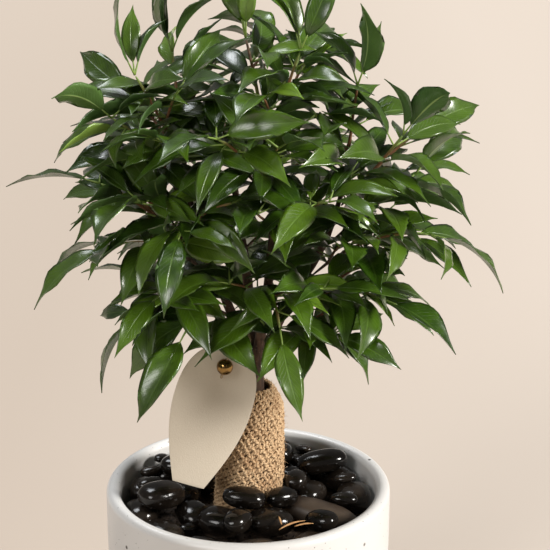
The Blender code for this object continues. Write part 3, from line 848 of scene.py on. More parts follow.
# %% Bark
BARK_VOXEL = 0.0009
BARK_LIFT = 0.00012
RIPPLE_DEPTH = 0.00010


def paint_bark(board):
    long = board.place((1, 1, 0.16))
    streak = board.noise(long, 620, 5)
    patch = board.noise(board.place(), 95, 3)
    pores = board.cells(board.place((1, 1, 2.6)), 300).ramp(0.20, 0.08)
    dark = board.mix(streak.ramp(0.36, 0.66), (0.030, 0.016, 0.010), (0.13, 0.072, 0.042))
    colour = board.mix(patch.ramp(0.5, 0.75) * 0.6, dark, (0.19, 0.12, 0.078))
    colour = board.mix(pores * 0.7, colour, (0.33, 0.25, 0.17))
    return colour, 0.78, streak + pores * 0.6, 0.0006, {}


bark_finish = finish("fig_bark", paint_bark)


def make_trunk():
    trunk = from_bmesh("bark_trunk", merged("trunk"), bark_finish)
    skin = trunk.modifiers.new("skin", "REMESH")
    skin.mode = "VOXEL"
    skin.voxel_size = BARK_VOXEL
    skin.use_smooth_shade = True
    soften = trunk.modifiers.new("soften", "SMOOTH")
    soften.factor = 0.5
    soften.iterations = 6
    flattened(trunk)
    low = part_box("trunk")[0].z
    skin_normals = [v.normal.copy() for v in trunk.data.vertices]
    for vert, normal in zip(trunk.data.vertices, skin_normals):
        x, y, z = vert.co
        ripple = math.sin(z * 310 + x * 190) + math.sin(z * 127 - y * 260 + 1.3)
        vert.co = vert.co + normal * (RIPPLE_DEPTH * ripple + BARK_LIFT)
        vert.co.z = max(vert.co.z, low)
    place_piece(trunk, "bark", "trunk")


make_trunk()

# %% [markdown]
# ## Reading the leaves
# Each branch solid holds a twig and its leaves in a few faces each, already placed so that no two touch. The
# fine leaves take exactly those places. A leaf's tip is the only kind of point with four neighbours that all
# run back the same way, so from each tip the three rings of the leaf are walked back to the twig. Base, tip
# and the widest ring then give the leaf's direction, upper side, length, width and droop.


# %% Reading a branch
TIP_GAP = 0.006  # no twig's end is so far from the points round it
NEAR_DROOP = 0.365  # the angle between the chord and the near half, as a share of the droop
RING_SHARE = 0.95  # the solid leaf's widest ring, as a share of its width
HALF_FOLD = math.radians(16)


def ring_after(ring, seen):
    found = {edge.other_vert(v) for v in ring for edge in v.link_edges} - seen
    return sorted(found, key=lambda v: v.index)


def centre_of(ring):
    return sum((v.co for v in ring), Vector()) / len(ring)


def leaf_rings(tip):
    """The leaf's three rings from tip to base and the twig's face behind it, or None if this is no tip."""
    seen = {tip}
    rings = []
    ring = [tip]
    for _step in range(4):
        ring = ring_after(ring, seen)
        if len(ring) != 4:
            return None
        seen |= set(ring)
        rings.append(ring)
    return rings if (tip.co - centre_of(rings[0])).length > TIP_GAP else None


def measure_leaf(tip, rings):
    far, wide, base, root = rings
    pairs = [(a, b) for a in wide for b in wide if a.index < b.index]
    left, right = max(pairs, key=lambda pair: (pair[0].co - pair[1].co).length)
    rest = [v for v in wide if v not in (left, right)]
    lift = (left.co + right.co) / 2 - centre_of(rest)
    start = centre_of(base)
    chord = tip.co - start
    near = centre_of(rest) - start
    droop = chord.angle(near) / NEAR_DROOP
    side = (left.co - right.co).normalized()
    if side.cross(chord).dot(lift) > 0:
        side = -side
    side = (side - chord.normalized() * side.dot(chord.normalized())).normalized()
    ahead = Matrix.Rotation(-droop / 2, 3, side) @ chord.normalized()
    facing = ahead.cross(side).normalized()
    return {
        "base": start,
        "ahead": ahead,
        "facing": facing,
        "length": chord.length * (droop / 2) / math.sin(droop / 2),
        "width": (left.co - right.co).length / RING_SHARE / math.cos(HALF_FOLD),
        "droop": droop,
        "root": centre_of(root),
    }


def read_branch(name):
    """The branch's leaves, and its twig with the leaves taken off and the holes closed."""
    shape = merged(name)
    shape.verts.index_update()
    leaves = []
    spent = set()
    for tip in shape.verts:
        rings = leaf_rings(tip) if len(tip.link_edges) == 4 else None
        if rings:
            leaves.append(measure_leaf(tip, rings))
            spent |= {tip, *rings[0], *rings[1], *rings[2]}
    bmesh.ops.delete(shape, geom=list(spent), context="VERTS")
    rim = [edge for edge in shape.edges if edge.is_boundary]
    bmesh.ops.holes_fill(shape, edges=rim, sides=4)
    quads = {"angle_face_threshold": 0.9, "angle_shape_threshold": 1.4}
    bmesh.ops.join_triangles(shape, faces=shape.faces, **quads)
    return leaves, shape


branches = {name: read_branch(name) for name in sorted(nodes) if name.startswith("branch_")}
found = [leaf for leaves, _twig in branches.values() for leaf in leaves]
lengths = sorted(round(leaf["length"], 4) for leaf in found)
print(len(found), "leaves; lengths", lengths[0], lengths[-1])

# %% [markdown]
# The real crown is fuller than the solid one, whose leaves are kept apart for collision. More leaves are
# added below, and each is tested first. For that a leaf is made rough, in six faces. It must stay inside the
# solid model's box, and it must not hang before the tag's top.

# %% Rough leaves
TAG_PLANE = -0.0235
TAG_MIDDLE = -0.017
CLEAR_ASIDE = 0.024
CLEAR_HEIGHT = SOIL_TOP + 0.128


def rough_leaf(leaf):
    """A leaf in a dozen faces, for testing what it touches."""
    left = leaf["facing"].cross(leaf["ahead"])
    bend = leaf["droop"]
    points = []
    for share, spread in ((0.0, 0.15), (0.3, 1.0), (0.66, 0.75), (1.0, 0.02)):
        angle = bend * share
        reach = leaf["length"] / bend
        bent = math.sin(angle) * leaf["ahead"] - (1 - math.cos(angle)) * leaf["facing"]
        spot = leaf["base"] + reach * bent
        up = math.cos(angle) * leaf["facing"] + math.sin(angle) * leaf["ahead"]
        half = leaf["width"] / 2 * spread
        points += [spot + half * left + 0.28 * half * up, spot, spot - half * left + 0.28 * half * up]
    return points, [(a, a + 1, a + 4, a + 3) for a in (0, 1, 3, 4, 6, 7)]


def inside_box(points):
    low, high = CAD_BOX
    return all(low[k] + 0.001 < p[k] < high[k] - 0.001 for p in points for k in range(3))


def hides_tag(points):
    """Whether a leaf hangs before the tag's top, the bead and the twine, seen from the camera."""
    for point in points:
        share = (TAG_PLANE - CAMERA_PLACE[1]) / (point.y - CAMERA_PLACE[1])
        x = CAMERA_PLACE[0] + (point.x - CAMERA_PLACE[0]) * share
        z = CAMERA_PLACE[2] + (point.z - CAMERA_PLACE[2]) * share
        if point.y < TAG_PLANE + 0.01 and abs(x - TAG_MIDDLE) < CLEAR_ASIDE and z < CLEAR_HEIGHT:
            return True
    return False


def tree_of(leaf):
    points, faces = rough_leaf(leaf)
    return BVHTree.FromPolygons(points, faces), leaf["base"].lerp(points[-2], 0.5), leaf["length"] * 0.62


print("a rough leaf has", len(rough_leaf(found[0])[1]), "faces")

# %% [markdown]
# Each leaf gets companions from the same twig, smaller and turned to another side. One is kept only if its
# rough shape touches no other leaf and neither the trunk, the tag and its twine, the jute nor the pot.

# %% Companion leaves
COMPANIONS_PER_LEAF = 2
TRIES = 10
LONGEST_YOUNG = 0.050
WIDEST_YOUNG = 0.0170
INNER_CROWN = 0.075
SKIRT = SOIL_TOP + 0.122


def companion(leaf, draw, effort):
    turn = draw.choice((-1, 1)) * draw.uniform(0.7, 2.6)
    ahead = Matrix.Rotation(turn, 3, "Z") @ leaf["ahead"]
    ahead.z += draw.uniform(-0.25, 0.65)
    ahead.normalize()
    outward = Vector((leaf["base"].x, leaf["base"].y, 0)).normalized()
    facing = Vector((0, 0, 1)) + 0.55 * outward
    facing = (facing - ahead * facing.dot(ahead)).normalized()
    facing = Matrix.Rotation(draw.uniform(-0.5, 0.5), 3, ahead) @ facing
    size = draw.uniform(0.62, 1.0) * (1 - 0.25 * effort)
    return {
        "base": leaf["root"] + ahead * draw.uniform(0.006, 0.010),
        "ahead": ahead,
        "facing": facing,
        "length": LONGEST_YOUNG * size,
        "width": WIDEST_YOUNG * size * draw.uniform(0.85, 1.1),
        "droop": draw.uniform(0.35, 1.0),
        "root": leaf["root"],
        "young": size,
    }


def grow_companions():
    draw = random.Random(11)
    solids = ("trunk", "gift_tag", "jute_sleeve", "brass_bead", "tag_string", "pot")
    fixed = [solid_tree(name) for name in solids]
    taken = [tree_of(leaf) for leaf in found]
    grown = {name: [] for name in branches}
    for name, (leaves, _twig) in branches.items():
        for leaf in leaves:
            wanted = COMPANIONS_PER_LEAF if leaf["root"].xy.length < INNER_CROWN else 1
            for _companion in range(wanted):
                for attempt in range(TRIES):
                    young = companion(leaf, draw, attempt / TRIES)
                    points, _faces = rough_leaf(young)
                    if not inside_box(points) or hides_tag(points) or min(p.z for p in points) < SKIRT:
                        continue
                    tree, middle, reach = tree_of(young)
                    near = [t for t, spot, r in taken if (spot - middle).length < r + reach]
                    if any(tree.overlap(other) for other in near + fixed):
                        continue
                    taken.append((tree, middle, reach))
                    grown[name].append(young)
                    break
    return grown


companions = grow_companions()
print(sum(len(leaves) for leaves in companions.values()), "companion leaves")

# %% [markdown]
# ## Leaf blades with Geometry Nodes
# A fig leaf follows a rule: an outline that swells early and runs out in a long drip tip, two halves folded
# up along the midrib, a droop, a slight twist and a wavy margin. The tree starts from a cylinder of eight
# points round and twelve rows along, puts one on each leaf's point, and bends it with that point's own
# numbers. The cylinder's X is the way across the blade, its Y says which side is up, and its Z is the way
# along. A stalk is made in the same way from a thinner cylinder of five sides.


# %% Leaf tree
OUTLINE = [(0, 0.04), (0.06, 0.30), (0.15, 0.64), (0.27, 0.91), (0.40, 1.0), (0.53, 0.95),
           (0.66, 0.75), (0.77, 0.47), (0.86, 0.22), (0.93, 0.09), (1, 0.01)]


def tubes(board, points, sides, rows):
    """A cylinder on each point, and the wires of its three numbers along, across and upper."""
    size = {"Vertices": sides, "Side Segments": rows, "Radius": 1.0, "Depth": 1.0}
    tube = board.node("GeometryNodeMeshCylinder", {"fill_type": "NGON"}, size)
    spot = board.node("GeometryNodeInputPosition")
    tube = stored(board, tube, "across", spot.part(0))
    tube = stored(board, tube, "upper", spot.part(1))
    tube = stored(board, tube, "along", spot.part(2) + 0.5)
    return copied(board, points, tube), *named(board, "along", "across", "upper")


def placed(board, geometry, place, material):
    moved_there = board.node("GeometryNodeSetPosition", {}, {"Geometry": geometry, "Position": place})
    return finished(board, moved_there, material)


def blade_geometry(board, given):
    many, along, x, y = tubes(board, given["Geometry"], 8, given["Rows"])
    droop, phase, length, width = named(board, "droop", "phase", "long", "wide")
    base, ahead, facing = named(board, "base", "ahead", "facing", kind="FLOAT_VECTOR")
    left = facing.cross(ahead)
    angle = droop * along
    reach = length / droop
    spine = base + ahead * (reach * angle.sine()) - facing * (reach * (1 - angle.cosine()))
    spine = spine + left * (named(board, "sweep") * length * along * along)
    up = facing * angle.cosine() + ahead * angle.sine()
    turn = named(board, "twist") * along
    side = left * turn.cosine() + up * turn.sine()
    up = up * turn.cosine() - left * turn.sine()
    spread = board.node("ShaderNodeFloatCurve", {"curve": OUTLINE}, {"Value": along})
    half = width * 0.5 * spread
    rise = x.size()
    crease = given["Fold"] * named(board, "crease")
    fold = half * crease * (rise * 1.35 - rise * rise * 0.45)
    wave = (along * named(board, "waves") + phase + x * 1.4).sine() * (along * math.pi).sine()
    ripple = wave * rise * rise * width * given["Ripple"]
    thick = y * given["Blade Thickness"] * (spread * 0.7 + 0.3)
    rib = (1 - rise * 6).ramp(0, 1) * y.ramp(0, -1) * given["Blade Thickness"] * 1.2
    place = spine + side * (x * half) + up * (fold + ripple + thick - rib)
    return placed(board, many, place, given["Leaf Finish"])


def stalk_geometry(board, given):
    many, along, x, y = tubes(board, given["Geometry"], 5, 4)
    start, base, ahead, facing = named(board, "root", "base", "ahead", "facing", kind="FLOAT_VECTOR")
    bend = base - ahead * 0.004
    spine = start * ((1 - along) * (1 - along)) + bend * ((1 - along) * along * 2) + base * (along * along)
    thick = given["Stalk Radius"] * (1.25 - along * 0.5)
    left = facing.cross(ahead)
    place = spine + left * (x * thick) + facing * (y * thick) + ahead * (along * 0.0015)
    return placed(board, many, place, given["Stalk Finish"])


def leaf_tree():
    tree, board, given = new_tree("Leaves", {
        "Rows": "count", "Blade Thickness": "size", "Fold": "size", "Ripple": "size", "Stalk Radius": "size",
        "Leaf Finish": "finish", "Stalk Finish": "finish"})
    end_tree(board, joined(board, [blade_geometry(board, given), stalk_geometry(board, given)]))
    return tree


leaves_tree = leaf_tree()
print("leaf tree has", len(leaves_tree.nodes), "nodes")

# %% [markdown]
# ## Leaf, stalk and twig finishes
# A mature leaf is dark and leathery with a waxy shine, a pale midrib and faint side veins. Its back is
# duller and lighter. New leaves are lime green and softer, and that lime also paints the glow of light
# through backlit leaves. The number shade goes from 0 on an old leaf to 1 on a new, lime one. Twigs are
# brown and turn green towards the tips.


# %% Leaf finishes
def paint_leaf(board):
    x, y, along = board.attribute("across"), board.attribute("upper"), board.attribute("along")
    shade, phase = board.attribute("shade"), board.attribute("phase")
    spot = board.place()
    rise = x.size()
    rib = rise.ramp(0.085, 0.03) * along.ramp(1.0, 0.6)
    slant = (along * 95 - rise * 22).sine()
    veins = slant.ramp(0.82, 1.0) * rise.ramp(0.02, 0.12)
    cloud = board.noise(spot, 120, 3)
    old = board.mix(cloud.ramp(0.35, 0.7), (0.0065, 0.026, 0.0007), (0.034, 0.086, 0.0025))
    old = board.mix((phase * 7.3).sine().ramp(-1, 1) * 0.5, old, (0.070, 0.135, 0.0035))
    # new: the lime of young leaves, which also paints the glow of light through backlit leaves
    new = board.mix(cloud, (0.11, 0.24, 0.014), (0.22, 0.36, 0.030))
    top = board.mix(shade, old, new)
    top = board.mix(veins * 0.10, top, (0.075, 0.17, 0.03))
    top = board.mix(rib * 0.30, top, (0.14, 0.25, 0.04))
    # the lime back of a new leaf also paints the glow of a backlit leaf
    back = board.mix(shade, (0.052, 0.115, 0.030), (0.25, 0.40, 0.07))
    back = board.mix(rib.ramp(0.2, 1.0), back, (0.27, 0.38, 0.13))
    under = y.ramp(0.05, -0.05)
    colour = board.mix(under, top, back)
    rough = under * 0.18 + board.noise(spot, 260, 3) * 0.12 + 0.24
    height = veins * -0.4 - rib * (1 - under) + rib * under + board.noise(spot, 300, 3) * 0.5
    even = {"Coat Weight": 0.9, "Coat Roughness": 0.22, "Specular IOR Level": 0.35}
    return colour, rough, height, 0.00028, even


def paint_stalk(board):
    tint = board.noise(board.place(), 160, 2)
    return board.mix(tint, (0.14, 0.25, 0.045), (0.27, 0.36, 0.08)), 0.45, None, 0, {}


def paint_twig(board):
    youth = board.attribute("youth")
    streak = board.noise(board.place((1, 1, 0.4)), 900, 4)
    brown = board.mix(streak.ramp(0.35, 0.7), (0.060, 0.034, 0.020), (0.21, 0.135, 0.085))
    russet = board.mix(streak, (0.17, 0.070, 0.026), (0.33, 0.16, 0.070))
    colour = board.mix(youth.ramp(0.25, 0.65), brown, russet)
    colour = board.mix(youth.ramp(0.72, 0.98), colour, (0.20, 0.30, 0.07))
    return colour, 0.66, streak, 0.0003, {}


leaf_finish = finish("fig_leaf", paint_leaf)
stalk_finish = finish("leaf_stalk", paint_stalk)
twig_finish = finish("twig_bark", paint_twig)
print("leaf, stalk and twig finishes made")

# %% [markdown]
# Now each branch becomes one piece: the twig rounded by subdivision, and all its leaves and stalks from the
# tree, joined to it. A leaf is made a hair shorter than its place, and near the side of the box it neither
# twists nor swings, so that the dressed plant stays within the solid one's box.


# %% Leafy branches
LENGTH_KEPT = 0.992
FREE_FROM = 0.025
TWIG_SWELL = 0.00022


def room(leaf):
    """How free a leaf's tip is to swing: 0 at the side of the box, and 1 from 25 mm inside it."""
    tip = rough_leaf(leaf)[0][-2]
    low, high = CAD_BOX
    return max(0, min(1, min(min(tip[k] - low[k], high[k] - tip[k]) for k in range(3)) / FREE_FROM))


def make_leaves(leaves, draw):
    points = add_mesh("leaves", [leaf["base"] for leaf in leaves], [])
    for key in ("base", "ahead", "facing", "root"):
        set_attribute(points, key, [leaf[key] for leaf in leaves], "FLOAT_VECTOR")
    shades = []
    for leaf in leaves:
        # lime leaves are young ones, and their lime also paints the glow of light through backlit leaves
        lime_young_and_backlit = draw.random() < (0.22 if leaf.get("young", 1) < 0.82 else 0.015)
        shades.append(draw.uniform(0.45, 1.0) if lime_young_and_backlit else draw.uniform(0.0, 0.20))
    set_attribute(points, "shade", shades)
    set_attribute(points, "long", [leaf["length"] * LENGTH_KEPT for leaf in leaves])
    set_attribute(points, "wide", [leaf["width"] * draw.uniform(0.88, 1.12) for leaf in leaves])
    set_attribute(points, "droop", [leaf["droop"] for leaf in leaves])
    set_attribute(points, "phase", [draw.uniform(0, 6.28) for _leaf in leaves])
    set_attribute(points, "waves", [draw.uniform(9, 17) for _leaf in leaves])
    set_attribute(points, "crease", [0.9 + draw.uniform(-0.4, 1.0) * room(leaf) for leaf in leaves])
    set_attribute(points, "twist", [draw.uniform(-0.7, 0.7) * room(leaf) for leaf in leaves])
    set_attribute(points, "sweep", [draw.uniform(-0.14, 0.14) * room(leaf) for leaf in leaves])
    return run_tree(points, leaves_tree, Rows=12, Blade_Thickness=0.00028, Fold=0.34, Ripple=0.06,
                    Stalk_Radius=0.00055, Leaf_Finish=leaf_finish, Stalk_Finish=stalk_finish)


def make_twig(shape):
    twig = rounded(from_bmesh("twig", shape, twig_finish))
    mesh = twig.data
    start = min(mesh.vertices, key=lambda v: abs(v.co.x) + abs(v.co.y)).co.copy()
    far = max((v.co - start).length for v in mesh.vertices)
    set_attribute(twig, "youth", [(v.co - start).length / far for v in mesh.vertices])
    normals = [v.normal.copy() for v in mesh.vertices]
    for vert, normal in zip(mesh.vertices, normals):
        vert.co = vert.co + normal * TWIG_SWELL
    return twig


def make_branches():
    draw = random.Random(29)
    for name, (leaves, shape) in branches.items():
        twig = make_twig(shape)
        grown = smooth(make_leaves(leaves + companions[name], draw))
        piece = join(name.replace("branch", "leafy"), [twig, grown])
        place_piece(piece, "foliage", name)


make_branches()

# %% [markdown]
# ## Jute sleeve
# The foot of the trunk is wrapped in open jute cloth, laid on the bias. Its yarns are real geometry: two
# families of helices round the sleeve's shape that pass over and under each other. A yarn's distance from
# the surface is a cosine of the two families' count at that place, which is a plain weave. First come the
# sleeve's own outline, wide at the foot and drawn in at the shoulder, and the two finishes.

# %% Sleeve shape and finishes
SLEEVE_HEIGHT = 0.088
SLEEVE_TOP = 0.0122
SLEEVE_BODY = 0.0198
SLEEVE_FOOT = 0.0218
SHOULDER = 0.017
TRUNK_LEAN = 0.0035
LEAN_HEIGHT = 0.098
CLOTH_FOLDS = 3
FOLD_TWIST = 40
FOLD_DEPTH = 0.035


def sleeve_radius(height):
    straight = SLEEVE_HEIGHT - SHOULDER
    if height < straight:
        return SLEEVE_BODY + (SLEEVE_FOOT - SLEEVE_BODY) * (1 - height / straight)
    turn = min(1, (height - straight) / SHOULDER)
    return SLEEVE_TOP + (SLEEVE_BODY - SLEEVE_TOP) * (1 - turn**1.7)


def paint_jute(board):
    around, run = board.attribute("around"), board.attribute("run")
    spot = board.place()
    ply = (around * 12.566 + run * 2600).sine()
    fibre = board.noise(spot, 1900, 4)
    # random stain patches, plus painted shade that darkens the yarns over the lowest 40 mm above the soil
    stain_and_foot_shade = board.noise(spot, 70, 3) + spot.part(2).ramp(SOIL_TOP + 0.040, SOIL_TOP) * 0.14
    straw = board.mix(fibre.ramp(0.3, 0.7), (0.40, 0.23, 0.105), (0.85, 0.635, 0.39))
    # painted shade: the grooves of each ply's twist are darkened towards (0.24, 0.12, 0.05)
    colour = board.mix(ply.ramp(-0.2, -1.0) * 0.42, straw, (0.24, 0.12, 0.05))
    colour = board.mix(stain_and_foot_shade.ramp(0.46, 0.70) * 0.50, colour, (0.32, 0.165, 0.070))
    return colour, 0.9, ply * 0.6 + fibre, 0.00035, {}


# The lining's dark colour is painted shade: the shade inside the sleeve, seen through the holes of the
# weave.
def paint_lining(board):
    weft = board.noise(board.place((1, 1, 4)), 900, 3)
    colour = board.mix(weft, (0.085, 0.045, 0.020), (0.21, 0.125, 0.062))
    return colour, 0.95, board.noise(board.place(), 1500, 2), 0.0004, {}


jute_finish = finish("jute_yarn", paint_jute)
lining_finish = finish("lining_painted_shade", paint_lining)
print("sleeve", SLEEVE_HEIGHT, "m high")

# %% [markdown]
# The weave's tree draws one upright line for each yarn, numbers them, and moves each of its 84 points to its
# place on the sleeve. A slow noise makes a yarn wander and grow thick and thin. Which yarn passes over is
# the cosine of the yarn's number plus the count of crossing yarns there.

# %% Woven yarns
YARN_STEPS = 84
YARN_SIDES = 6
OUTLINE_STEPS = 12
YARN_LIFT = 0.0008


def yarn_tree():
    tree, board, given = new_tree("Woven yarns", {
        "Yarns": "count", "Crossing Yarns": "count", "Turns": "size", "Crossing Turns": "size",
        "Height": "size", "Widest": "size", "Yarn Radius": "size", "Weave Depth": "size", "Side": "size",
        "Finish": "finish"})
    line = board.node("GeometryNodeCurvePrimitiveLine", {}, {"Start": (0, 0, 0), "End": (0, 0, 1)})
    line = board.node("GeometryNodeResampleCurve", {}, {"Curve": line, "Count": YARN_STEPS})
    line = stored(board, line, "rise", board.node("GeometryNodeSplineParameter"))
    spots = board.node("GeometryNodeMeshLine", {}, {"Count": given["Yarns"], "Offset": (0, 0, 0)})
    spots = stored(board, spots, "number", board.node("GeometryNodeInputIndex"))
    lines = copied(board, spots, line)
    rise, number = named(board, "rise", "number")
    where = board.node("ShaderNodeCombineXYZ", {}, {0: rise * 9, 1: number * 3.7 + given["Side"] * 50})
    own = board.node("ShaderNodeTexNoise", {"noise_dimensions": "2D"}, {"Vector": where, "Scale": 1.0})
    share = number / given["Yarns"] + given["Turns"] * rise + (own - 0.5) * 0.034
    crossing = share * given["Crossing Yarns"] - given["Crossing Turns"] * given["Crossing Yarns"] * rise
    weave = ((number + crossing) * math.pi).cosine() * given["Weave Depth"] * given["Side"]
    shares = [k / OUTLINE_STEPS for k in range(OUTLINE_STEPS + 1)]
    stops = [(part, sleeve_radius(SLEEVE_HEIGHT * part) / SLEEVE_FOOT) for part in shares]
    curve = board.node("ShaderNodeFloatCurve", {"curve": stops}, {"Value": rise})
    height = rise * given["Height"]
    angle = share * (2 * math.pi)
    fold = (angle * CLOTH_FOLDS + height * FOLD_TWIST).sine() * FOLD_DEPTH + 1
    radius = curve * given["Widest"] * fold + weave
    lean = (height / LEAN_HEIGHT) ** 1.5 * TRUNK_LEAN
    place = {0: radius * angle.cosine() + lean, 1: radius * angle.sine(), 2: height + (SOIL_TOP + YARN_LIFT)}
    place = board.node("ShaderNodeCombineXYZ", {}, place)
    lines = board.node("GeometryNodeSetPosition", {}, {"Geometry": lines, "Position": place})
    lines = stored(board, lines, "run", board.node("GeometryNodeSplineParameter", out="Length"))
    lines = board.node("GeometryNodeSetCurveRadius", {}, {"Curve": lines, "Radius": own * 0.8 + 0.6})
    ring = {"Resolution": YARN_SIDES, "Radius": given["Yarn Radius"]}
    ring = board.node("GeometryNodeCurvePrimitiveCircle", {}, ring)
    ring = stored(board, ring, "around", board.node("GeometryNodeSplineParameter"))
    values = {"Curve": lines, "Profile Curve": ring, "Scale": own * 0.9 + 0.55, "Fill Caps": True}
    yarns = board.node("GeometryNodeCurveToMesh", {}, values)
    yarns = board.node("GeometryNodeSetShadeSmooth", {}, {0: yarns})
    end_tree(board, finished(board, yarns, given["Finish"]))
    return tree


weave_tree = yarn_tree()
print("weave tree has", len(weave_tree.nodes), "nodes")

# %% [markdown]
# Real jute is hairy. A second tree scatters short loose fibres over the finished yarns and tips each one at
# random. A fibre is a spike of three sides, because there are so many.


# %% Loose fibres
def fuzz_tree():
    """Short loose fibres that stand off the yarns, a thin three-sided spike each."""
    tree, board, given = new_tree("Loose fibres", {
        "Fibres per Square Metre": "size", "Fibre Length": "size", "Seed": "count", "Finish": "finish"})
    spots = board.node("GeometryNodeDistributePointsOnFaces", {"distribute_method": "RANDOM"}, {
        "Mesh": given["Geometry"], "Density": given["Fibres per Square Metre"], "Seed": given["Seed"]})
    spike = board.node("GeometryNodeMeshCone", {}, {
        "Vertices": 3, "Radius Top": 0.00003, "Radius Bottom": 0.00009, "Depth": given["Fibre Length"]})
    lean = random_vector(board, (-1.35, -1.35, 0), (1.35, 1.35, 6.28), given["Seed"])
    lean = board.node("FunctionNodeEulerToRotation", {}, {0: lean})
    turn = board.node("FunctionNodeRotateRotation", {"rotation_space": "LOCAL"},
                      {"Rotation": spots.beside("Rotation"), "Rotate By": lean})
    grow = board.node("FunctionNodeRandomValue", {"data_type": "FLOAT"},
                      {"Min": 0.4, "Max": 1.5, "Seed": given["Seed"]}, out=1)
    many = stored(board, copied(board, spots, spike, Rotation=turn, Scale=grow), "around", 0.3)
    end_tree(board, joined(board, [finished(board, many, given["Finish"]), given["Geometry"]]))
    return tree


fibre_tree = fuzz_tree()
print("fibre tree has", len(fibre_tree.nodes), "nodes")

# %% [markdown]
# The two families of yarns are run and joined. Behind them lies a thin lining cloth, coloured dark as
# painted shade, so that the holes of the weave show shade and not the trunk. The lining is the sheet that
# stands for the whole cloth, and the yarns are laid on it.


# %% Jute cloth
def make_yarns():
    families = []
    for name, yarns, crossing, turns, other, side in (("yarns_up", 28, 26, 1.05, -0.46, 1.0),
                                                     ("yarns_down", 26, 28, -0.46, 1.05, -1.0)):
        family = add_mesh(name, [(0, 0, 0)], [])
        families.append(run_tree(
            family, weave_tree, Yarns=yarns, Crossing_Yarns=crossing, Turns=turns, Crossing_Turns=other,
            Height=SLEEVE_HEIGHT - 0.0012, Widest=SLEEVE_FOOT - 0.0006, Yarn_Radius=0.00108,
            Weave_Depth=0.00060, Side=side, Finish=jute_finish))
    yarns = join("jute_yarns", families)
    run_tree(yarns, fibre_tree, Fibres_per_Square_Metre=90000.0, Fibre_Length=0.0022, Seed=8,
             Finish=jute_finish)
    return place_piece(yarns, "jute", "jute_sleeve")


def make_lining():
    levels = [0.0010 + (SLEEVE_HEIGHT - 0.0040) * k / 24 for k in range(25)]
    rows = [(h, 0.0019) for h in levels] + [(h, 0.0023) for h in reversed(levels)]
    points, faces = [], []
    sides = 64
    for ring, (height, inset) in enumerate(rows):
        lean = TRUNK_LEAN * (height / LEAN_HEIGHT) ** 1.5
        low, high = ring * sides, (ring + 1) % len(rows) * sides
        for k in range(sides):
            angle = 2 * math.pi * k / sides
            fold = 1 + FOLD_DEPTH * math.sin(CLOTH_FOLDS * angle + FOLD_TWIST * height)
            radius = sleeve_radius(height) * fold - inset
            points.append((radius * math.cos(angle) + lean, radius * math.sin(angle), SOIL_TOP + height))
            n = (k + 1) % sides
            faces.append((low + k, low + n, high + n, high + k))
    return place_piece(add_mesh("jute_lining", points, faces, lining_finish), "jute")


jute_yarns = make_yarns()
jute_lining = make_lining()

# %% [markdown]
# ## Tag, bead and twine
# The tag is blank cream card, bowed a little, with a soft rounded top. Its outline is cut from the same
# rule as the solid, in many more steps, and a small bevel takes the sharpness off the edge.

# %% Tag
TAG_LENGTH = 0.091
TAG_WIDTH = 0.049
TAG_FOOT_WIDTH = 0.020
TAG_BOW = 0.0025
TAG_THICKNESS = 0.0008
HOLE_FROM_FOOT = 0.079
HOLE_RADIUS = 0.0017
SHOULDER_SHARE = 0.60
TOP_ROUNDNESS = 2.4


def paint_card(board):
    spot = board.place()
    pulp = board.noise(spot, 1500, 4)
    cloud = board.noise(spot, 45, 3)
    fleck = board.cells(board.place((1, 1, 0.35)), 420).ramp(0.10, 0.04) * 0.35
    colour = board.mix(cloud, (0.58, 0.50, 0.39), (0.64, 0.565, 0.455))
    colour = board.mix(pulp.ramp(0.4, 0.65) * 0.18, colour, (0.72, 0.65, 0.54))
    return board.mix(fleck, colour, (0.40, 0.32, 0.22)), 0.82, pulp, 0.00016, {}


def half_width(rise):
    foot = TAG_FOOT_WIDTH / 2
    if rise <= SHOULDER_SHARE:
        return foot + (TAG_WIDTH / 2 - foot) * math.sin(math.pi / 2 * rise / SHOULDER_SHARE)
    fall = (rise - SHOULDER_SHARE) / (1 - SHOULDER_SHARE)
    return TAG_WIDTH / 2 * max(0, 1 - fall**TOP_ROUNDNESS) ** (1 / TOP_ROUNDNESS)


TAG_PLACE = (Matrix.Translation((-0.0140, -0.0235, SOIL_TOP + 0.1100))
             @ Matrix.Rotation(math.radians(17), 4, "Y") @ Matrix.Rotation(math.radians(-8), 4, "X"))


